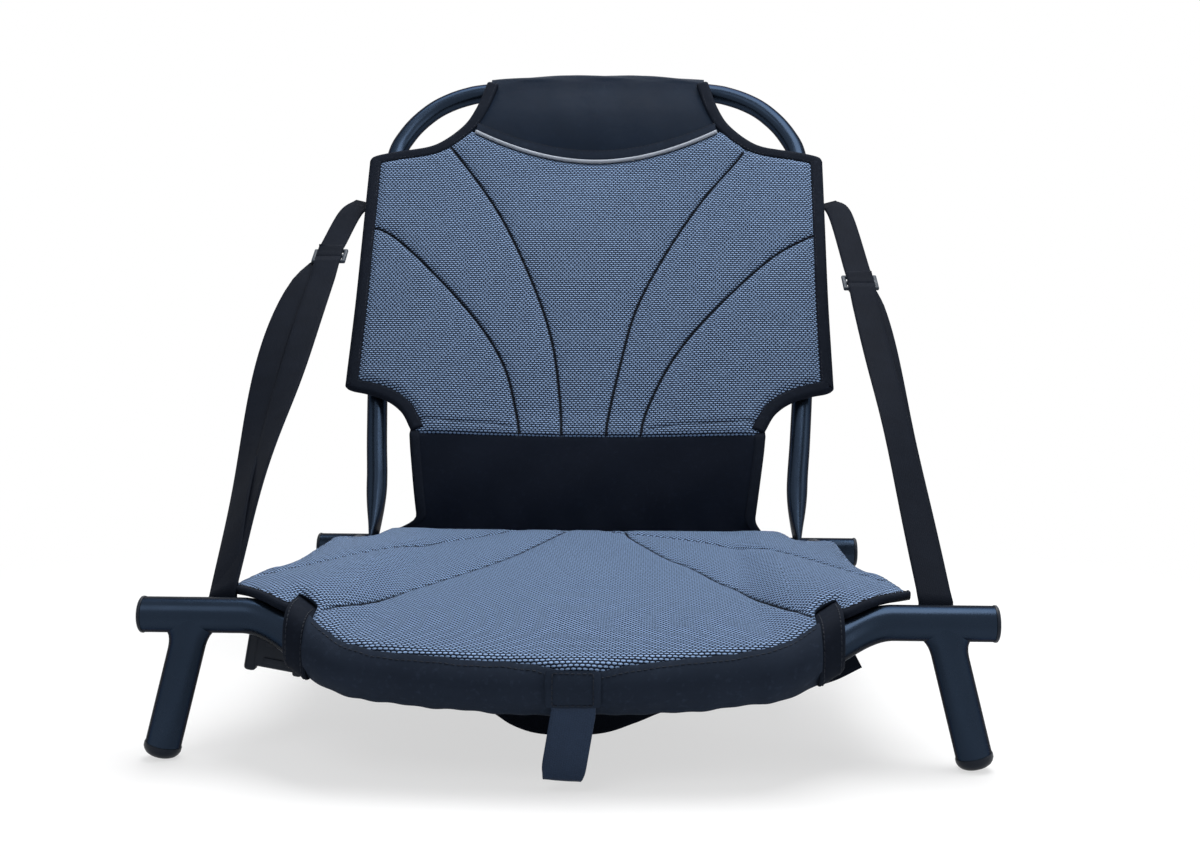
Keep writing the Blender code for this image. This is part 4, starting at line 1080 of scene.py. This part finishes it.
# Lumbar strip between the panels
STRIP_X, STRIP_T = 0.157, 0.0040
STRIP_HALF = ((0.0, 0.15, 0.5, 0.85, 1.0), (0.1640, 0.1625, 0.1580, 0.1535, 0.1545))
CREASE_Y, CREASE_Z = Y_TIP + 0.3175, 0.1235
top_in = MESH_BOTTOM - GAP * 3
rings = []
for u in np.linspace(-1, 1, 90):
    start = back_surface(np.array([(u * STRIP_X, top_in)]), 0.0)[0]
    end = np.array((u * STRIP_X, CREASE_Y - 0.002, CREASE_Z - 0.0045))
    col = []
    for k in np.linspace(0, 1, 30):
        p = start + (end - start) * k
        p[1] -= 0.0045 * math.sin(math.pi * k) + 0.0010 * math.sin(math.pi * k) * math.sin(9 * u + 5 * k)
        p[1] -= 0.0007 * math.sin(26 * u + 2 * math.sin(3 * k)) * (k ** 2)
        flare = (0.029 if u < 0 else 0.010) * max((k - 0.80) / 0.20, 0) ** 2
        p[0] = u * np.interp(k, *STRIP_HALF) + u * abs(u) ** 3 * flare
        col.append(p)
    tucked = back_surface(np.array([(u * STRIP_X, top_in + 0.008)]), -0.0045)[0]
    tucked[0] = u * STRIP_HALF[1][0]
    rings.append([tucked] + col)
grid = np.array(rings)
lumbar, n_out = slab("lumbar_cloth", grid, STRIP_T, (0, -1, 0.3), "lumbar", None, "lumbar_strip",
                     slot="satin")
blend_end = tuple(back_point(0, top_in, PANEL_OFF))
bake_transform(lumbar)
for label, i, sx in (("left", 0, -1), ("right", -1, 1)):
    inner_n = n_out[i]
    edge_pts = grid[i]
    prof = tape_profile(0.0095, 0.0066)
    edge_pts = np.vstack([edge_pts[0] + (edge_pts[0] - edge_pts[1]) * 2.0 - BACK_N * 0.0008, edge_pts])
    rows = []
    for p, n in zip(edge_pts, np.vstack([inner_n[:1], inner_n])):
        rows.append([p + np.array((-sx * (w - 0.0012), 0, 0)) + n * h for w, h in prof])
    obj = skin(f"lumbar_tape_{label}", rows, "tape", None, slot="satin")
    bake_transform(obj)

# Side straps
WEB_W, WEB_T = 0.025, 0.0014
STRAP_TOP, STRAP_CLEAR = (0.2363, 0.395, -0.003), (0.2478, 0.374, 0.0075)
STRAP_FOOT_X = {"left": -0.2480, "right": 0.2620}
GLIDE_AT = {"left": 0.185, "right": 0.263}
GLIDE_X, GLIDE_W, GLIDE_L, GLIDE_T, GLIDE_SLOT = 0.2545, 0.033, 0.023, 0.0036, 0.0052
web_section = strap_section(WEB_W, WEB_T, 0.00012)
web_around = np.append(web_section[:, 0], web_section[0, 0])
for label, sx in SIDES:
    top_p = back_point(sx * STRAP_TOP[0], STRAP_TOP[1], STRAP_TOP[2])
    clear = back_point(sx * STRAP_CLEAR[0], STRAP_CLEAR[1], STRAP_CLEAR[2])
    foot_x = STRAP_FOOT_X[label]
    anchor = np.array((foot_x, Y_TIP + BAR_R + 0.0020, AXIS_Z + 0.012))
    glide = top_p + (anchor - top_p) * GLIDE_AT[label]
    glide[0] = sx * GLIDE_X
    down = unit(anchor - glide)
    across = unit(np.array((sx, 0, 0)) - down * down[0] * sx)
    face = np.cross(down, across) * sx
    face = face if face[1] < 0 else -face
    proud = GLIDE_T / 2 + WEB_T / 2 + 0.0002
    path = [top_p, clear, glide - down * (GLIDE_L / 2 + 0.012), glide - down * (GLIDE_L / 2 + 0.004)
            + face * proud, glide - down * GLIDE_SLOT + face * proud, glide + face * (proud + 0.0002),
            glide + down * GLIDE_SLOT * 0.9 + face * proud * 0.9, glide + down * (GLIDE_SLOT + 0.001)]
    path = spline(path, 90)
    skin(f"upper_webbing_{label}", ribbon(path, across, web_section), "web", "backrest",
         f"upper_strap_{label}", along=lengths(path), around=web_around)

    # Tri-glide: a frame of rounded bars with a middle bar
    axes = columns(across, down, np.cross(across, down))
    parts = []
    for off, size in (((0, -GLIDE_L / 2 + 0.0017, 0), (GLIDE_W, 0.0036, GLIDE_T)),
                      ((0, GLIDE_L / 2 - 0.0017, 0), (GLIDE_W, 0.0036, GLIDE_T)),
                      ((0, 0, 0), (GLIDE_W - 0.002, 0.0044, GLIDE_T * 0.95)),
                      ((-GLIDE_W / 2 + 0.0019, 0, 0), (0.0038, GLIDE_L - 0.002, GLIDE_T)),
                      ((GLIDE_W / 2 - 0.0019, 0, 0), (0.0038, GLIDE_L - 0.002, GLIDE_T))):
        parts.append(rounded_box(glide + axes @ np.array(off), axes, size, 0.00135))
    merge(f"strap_slider_{label}", parts, "buckle", "backrest", f"tri_glide_{label}", sharp=40)

    start = glide + down * GLIDE_SLOT
    ply = WEB_T / 2 + 0.0001
    strands = []
    rear_bow = 0.027 if label == "left" else 0.008
    for sign, bow, shift in ((-1, 0.009, rear_bow), (1, 0.004, 0.0)):
        ks = np.concatenate([[0.0, 0.02, 0.05, 0.08], np.linspace(0.12, 1, 50)])
        spread = np.clip((0.08 - ks) / 0.06, 0, 1)
        wave = 0.0012 * np.sin(ks * 11 + sx + sign) * np.sin(math.pi * ks)
        lift = sign * (ply + (proud - ply) * spread + bow * np.sin(math.pi * ks) ** 2) + wave
        strands.append(start + (anchor - start) * ks[:, None] + face * lift[:, None]
                       + across * (shift * np.sin(math.pi * ks ** 0.6))[:, None])
    near = Y_TIP + BAR_R + GAP + WEB_T / 2
    fold = [np.array((foot_x, y, AXIS_Z + z)) for y, z in
            ((near, 0.005), (near, -0.0045), (near + ply * 0.35, -0.0057), (near + ply, -0.0062),
             (near + ply * 1.65, -0.0057), (near + 2 * ply, -0.0045), (near + 2 * ply, 0.005))]
    path = np.vstack([strands[1], fold, strands[0][::-1]])
    run = lengths(path)
    turn, place, reach = (-0.80, 0.26, 0.30) if label == "left" else (-0.30, 0.40, 0.30)
    mid = run[len(strands[1]) + 3]
    near_foot = np.exp(-((abs(run - mid) / mid - place) / reach) ** 2)
    twist = np.where(run < mid, turn, -turn * 0.9) * near_foot * sx
    obj = skin(f"lower_webbing_{label}", ribbon(path, across, web_section, twist), "web", None,
               f"lower_strap_{label}", along=run, around=web_around)
    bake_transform(obj)

# Pull loop
LOOP_W, LOOP_T, LOOP_X, LOOP_LOW_Z = 0.030, 0.0016, 0.0065, 0.0078
bar_mid = bar_axis(LOOP_X)
path = [hem_point(LOOP_X, a, LOOP_T / 2 + 0.0008) for a in np.linspace(0.95, 2.0, 9)]
low = bar_mid[2] - LOOP_LOW_Z - LOOP_T / 2
path += [bar_mid + (0, y, z) for y, z in (
    (-0.0172, -0.0170), (-0.0165, -0.0300), (-0.0155, -0.0480), (-0.0138, 0.0034 - low),
    (-0.0122, 0.0006 - low), (-0.0100, -low), (-0.0080, 0.0006 - low), (-0.0064, 0.0034 - low),
    (-0.0055, -0.050), (-0.0058, -0.034), (-0.0062, -0.0195))]
path = spline(path, 140)
drop = np.clip((bar_mid[2] - 0.012 - path[:, 2]) / 0.045, 0, 1)
path[:, 0] += 0.0030 - 0.0075 * drop
section = strap_section(LOOP_W, LOOP_T, 0.0002)
twist = 0.05 * np.sin(np.linspace(0, 3.0, len(path)))
rings = np.array(ribbon(path, (1.0, 0.0, 0.0), section, twist))
taper = 1 - 0.13 * np.exp(-((path[:, 2] - LOOP_LOW_Z) / 0.0060) ** 2)
rings[:, :, 0] = path[:, :1] + (rings[:, :, 0] - path[:, :1]) * taper[:, None]
skin("front_pull_loop", rings, "loop", "base", "pull_loop", slot="web", along=lengths(path),
     around=np.append(section[:, 0], section[0, 0]))
patch = []
for a in np.linspace(0.86, 1.95, 22):
    across_patch = ((-0.0180, 0.0004), (-0.0178, 0.0022), (-0.0165, 0.0029), (-0.0080, 0.0030),
                    (0.0, 0.0030), (0.0080, 0.0030), (0.0165, 0.0029), (0.0178, 0.0022), (0.0180, 0.0004))
    patch.append([hem_point(LOOP_X + 0.0030 + w, a, h) for w, h in across_patch])
patch = np.array(patch)
slab("loop_patch", patch, 0.0012, (0, -1, 0), "black_cloth", "base")
PATCH_SEAMS = ((-0.0135, (0.95, 1.85)), (0.0135, (0.95, 1.85)), (None, 0.95), (None, 1.85))
for k, (w, angles) in enumerate(PATCH_SEAMS):
    if w is None:
        xs, angles = LOOP_X + 0.003 + np.linspace(-0.0135, 0.0135, 20), np.full(20, angles)
    else:
        xs, angles = np.full(24, LOOP_X + 0.003 + w), np.linspace(*angles, 24)
    ray = columns(np.zeros(len(xs)), -np.sin(angles), np.cos(angles))
    stitches(f"loop_patch_stitches_{k}", hem_point(xs, angles, 0.0038), ray, "base", slot="web",
             pitch=0.0034)

# Tension strap and its buckle, each of whose parts is a place, a size and a rounding
TENSION_Y = Y_TIP + 0.020
sag_line = [(-0.1901, 0.0725), (-0.168, 0.0686), (-0.125, 0.0590), (-0.075, 0.0480), (-0.050, 0.0425),
            (-0.033, 0.0325), (-0.014, 0.0275), (0.022, 0.0270), (0.045, 0.0340), (0.068, 0.0440),
            (0.100, 0.0520), (0.165, 0.0630), (0.186, 0.0675), (0.2060, 0.0777)]
path = np.array([(x, TENSION_Y, z) for x, z in spline(sag_line, 160)])
path[:, 1] += 0.0010 * np.sin(path[:, 0] * 45)
twist = 0.35 * np.sin(path[:, 0] * 30) * np.exp(-(path[:, 0] / 0.12) ** 2)
skin("under_seat_webbing", ribbon(path, (0.0, 0.0, 1.0), web_section, twist), "web", "base",
     "tension_strap", along=lengths(path), around=web_around)
c = np.array((-0.2110, TENSION_Y, 0.0728))
axes = np.array(Matrix.Rotation(math.radians(10), 3, "Y"))
BUCKLE_PARTS = (mm(1.5, 0, 0, 35, 8.8, 25, 3.6), mm(-16.5, 0, 0, 9, 10, 32, 3),
                mm(18, 0, 11.2, 7, 9.2, 6.6, 2.2), mm(18, 0, -11.2, 7, 9.2, 6.6, 2.2),
                mm(3, -4.6, 6.2, 20, 1.4, 4, 0.6), mm(3, -4.6, -6.2, 20, 1.4, 4, 0.6))
parts = [rounded_box(c + axes @ part[:3], axes, part[3:6], part[6]) for part in BUCKLE_PARTS]
merge("tension_side_buckle", parts, "plug", "base", "tension_buckle", slot="buckle", sharp=40)

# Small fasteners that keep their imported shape
for node, mat in (("hinge_washer", "plug"), ("hinge_nut", "steel"), ("strap_screw", "steel")):
    for label, _ in SIDES:
        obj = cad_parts[f"{node}_{label}"]
        obj.data.materials.clear()
        obj.data.materials.append(MATS[mat])


# Camera, floor and light
YAW, PITCH, ROLL = math.radians(-1.96), math.radians(3.93), math.radians(0.28)
f = np.array([math.sin(YAW) * math.cos(PITCH), math.cos(YAW) * math.cos(PITCH), -math.sin(PITCH)])
r = np.array([math.cos(YAW), -math.sin(YAW), 0.0])
u = np.cross(r, f)
r, u = r * math.cos(ROLL) + u * math.sin(ROLL), -r * math.sin(ROLL) + u * math.cos(ROLL)
camera = bpy.data.objects.new("camera", bpy.data.cameras.new("camera"))
camera.data.sensor_width = 36.0
camera.data.lens = 45.0
camera.matrix_world = Matrix([[*map(float, (r[i], u[i], -f[i])), 0.0] for i in range(3)] + [[0, 0, 0, 1]])
camera.location = (0.05965, -1.04511 + Y_TIP, 0.31011)
bpy.context.scene.collection.objects.link(camera)
bpy.context.scene.camera = camera


def backdrop(tree):
    """Rays of the camera, of reflections and of glass, which see plain white."""
    ray = add_node(tree, "ShaderNodeLightPath").outputs
    seen = combine(tree, "MAXIMUM", ray["Is Camera Ray"], ray["Is Glossy Ray"])
    return combine(tree, "MAXIMUM", seen, ray["Is Transmission Ray"])


scene = bpy.context.scene
scene.view_settings.view_transform = "Standard"
world = bpy.data.worlds.new("studio")
scene.world = world
world.use_nodes = True
tree = world.node_tree
tree.nodes.clear()
white = add_node(tree, "ShaderNodeBackground", _0=(1, 1, 1, 1)).outputs[0]
grey = add_node(tree, "ShaderNodeBackground", _0=(0.92, 0.95, 1.0, 1), _1=0.26).outputs[0]
mix = add_node(tree, "ShaderNodeMixShader", _0=backdrop(tree), _1=grey, _2=white)
add_node(tree, "ShaderNodeOutputWorld", _0=mix.outputs[0])

floor_mesh = bpy.data.meshes.new("floor")
size = 14.0
floor_mesh.from_pydata([(-size, -size, 0), (size, -size, 0), (size, size, 0), (-size, size, 0)], [],
                       [(0, 1, 2, 3)])
floor = bpy.data.objects.new("floor", floor_mesh)
floor.location.z = -0.0004
scene.collection.objects.link(floor)
s = Shader("floor", 0.9, 0.0)
s.set("Base Color", (0.93, 0.93, 0.93, 1))
glow = s.node("ShaderNodeEmission", _0=(1, 1, 1, 1))
far = s.node("ShaderNodeVectorMath", _0=s.node("ShaderNodeTexCoord").outputs["Object"])
far.operation = "LENGTH"
fade = s.node("ShaderNodeMapRange", Value=far.outputs["Value"], From_Min=0.35, From_Max=0.95, To_Min=0.62)
fade.interpolation_type = "SMOOTHSTEP"
both = s.mul(backdrop(s.tree), fade.outputs[0])
mix = s.node("ShaderNodeMixShader", _0=both, _1=s.out.outputs[0], _2=glow.outputs[0])
s.tree.links.new(mix.outputs[0], s.tree.nodes["Material Output"].inputs[0])
floor_mesh.materials.append(s.mat)


def lamp(name, place, target_z, size, power):
    data = bpy.data.lights.new(name, "AREA")
    data.shape = "RECTANGLE"
    data.size, data.size_y = size
    data.energy = power
    obj = bpy.data.objects.new(name, data)
    obj.location = place
    obj.rotation_mode = "QUATERNION"
    obj.rotation_quaternion = (Vector((0.0, 0.0, target_z)) - Vector(place)).to_track_quat("-Z", "Y")
    scene.collection.objects.link(obj)


lamp("overhead", (0.25, 0.25, 1.80), 0.15, (1.8, 1.3), 50.0)
lamp("front", (-0.7, -1.5, 1.7), 0.25, (1.2, 1.0), 7.0)
lamp("side", (1.7, -0.5, 0.9), 0.25, (1.0, 1.0), 6.0)
lamp("behind", (-0.5, 1.7, 1.1), 0.25, (1.4, 1.0), 4.0)
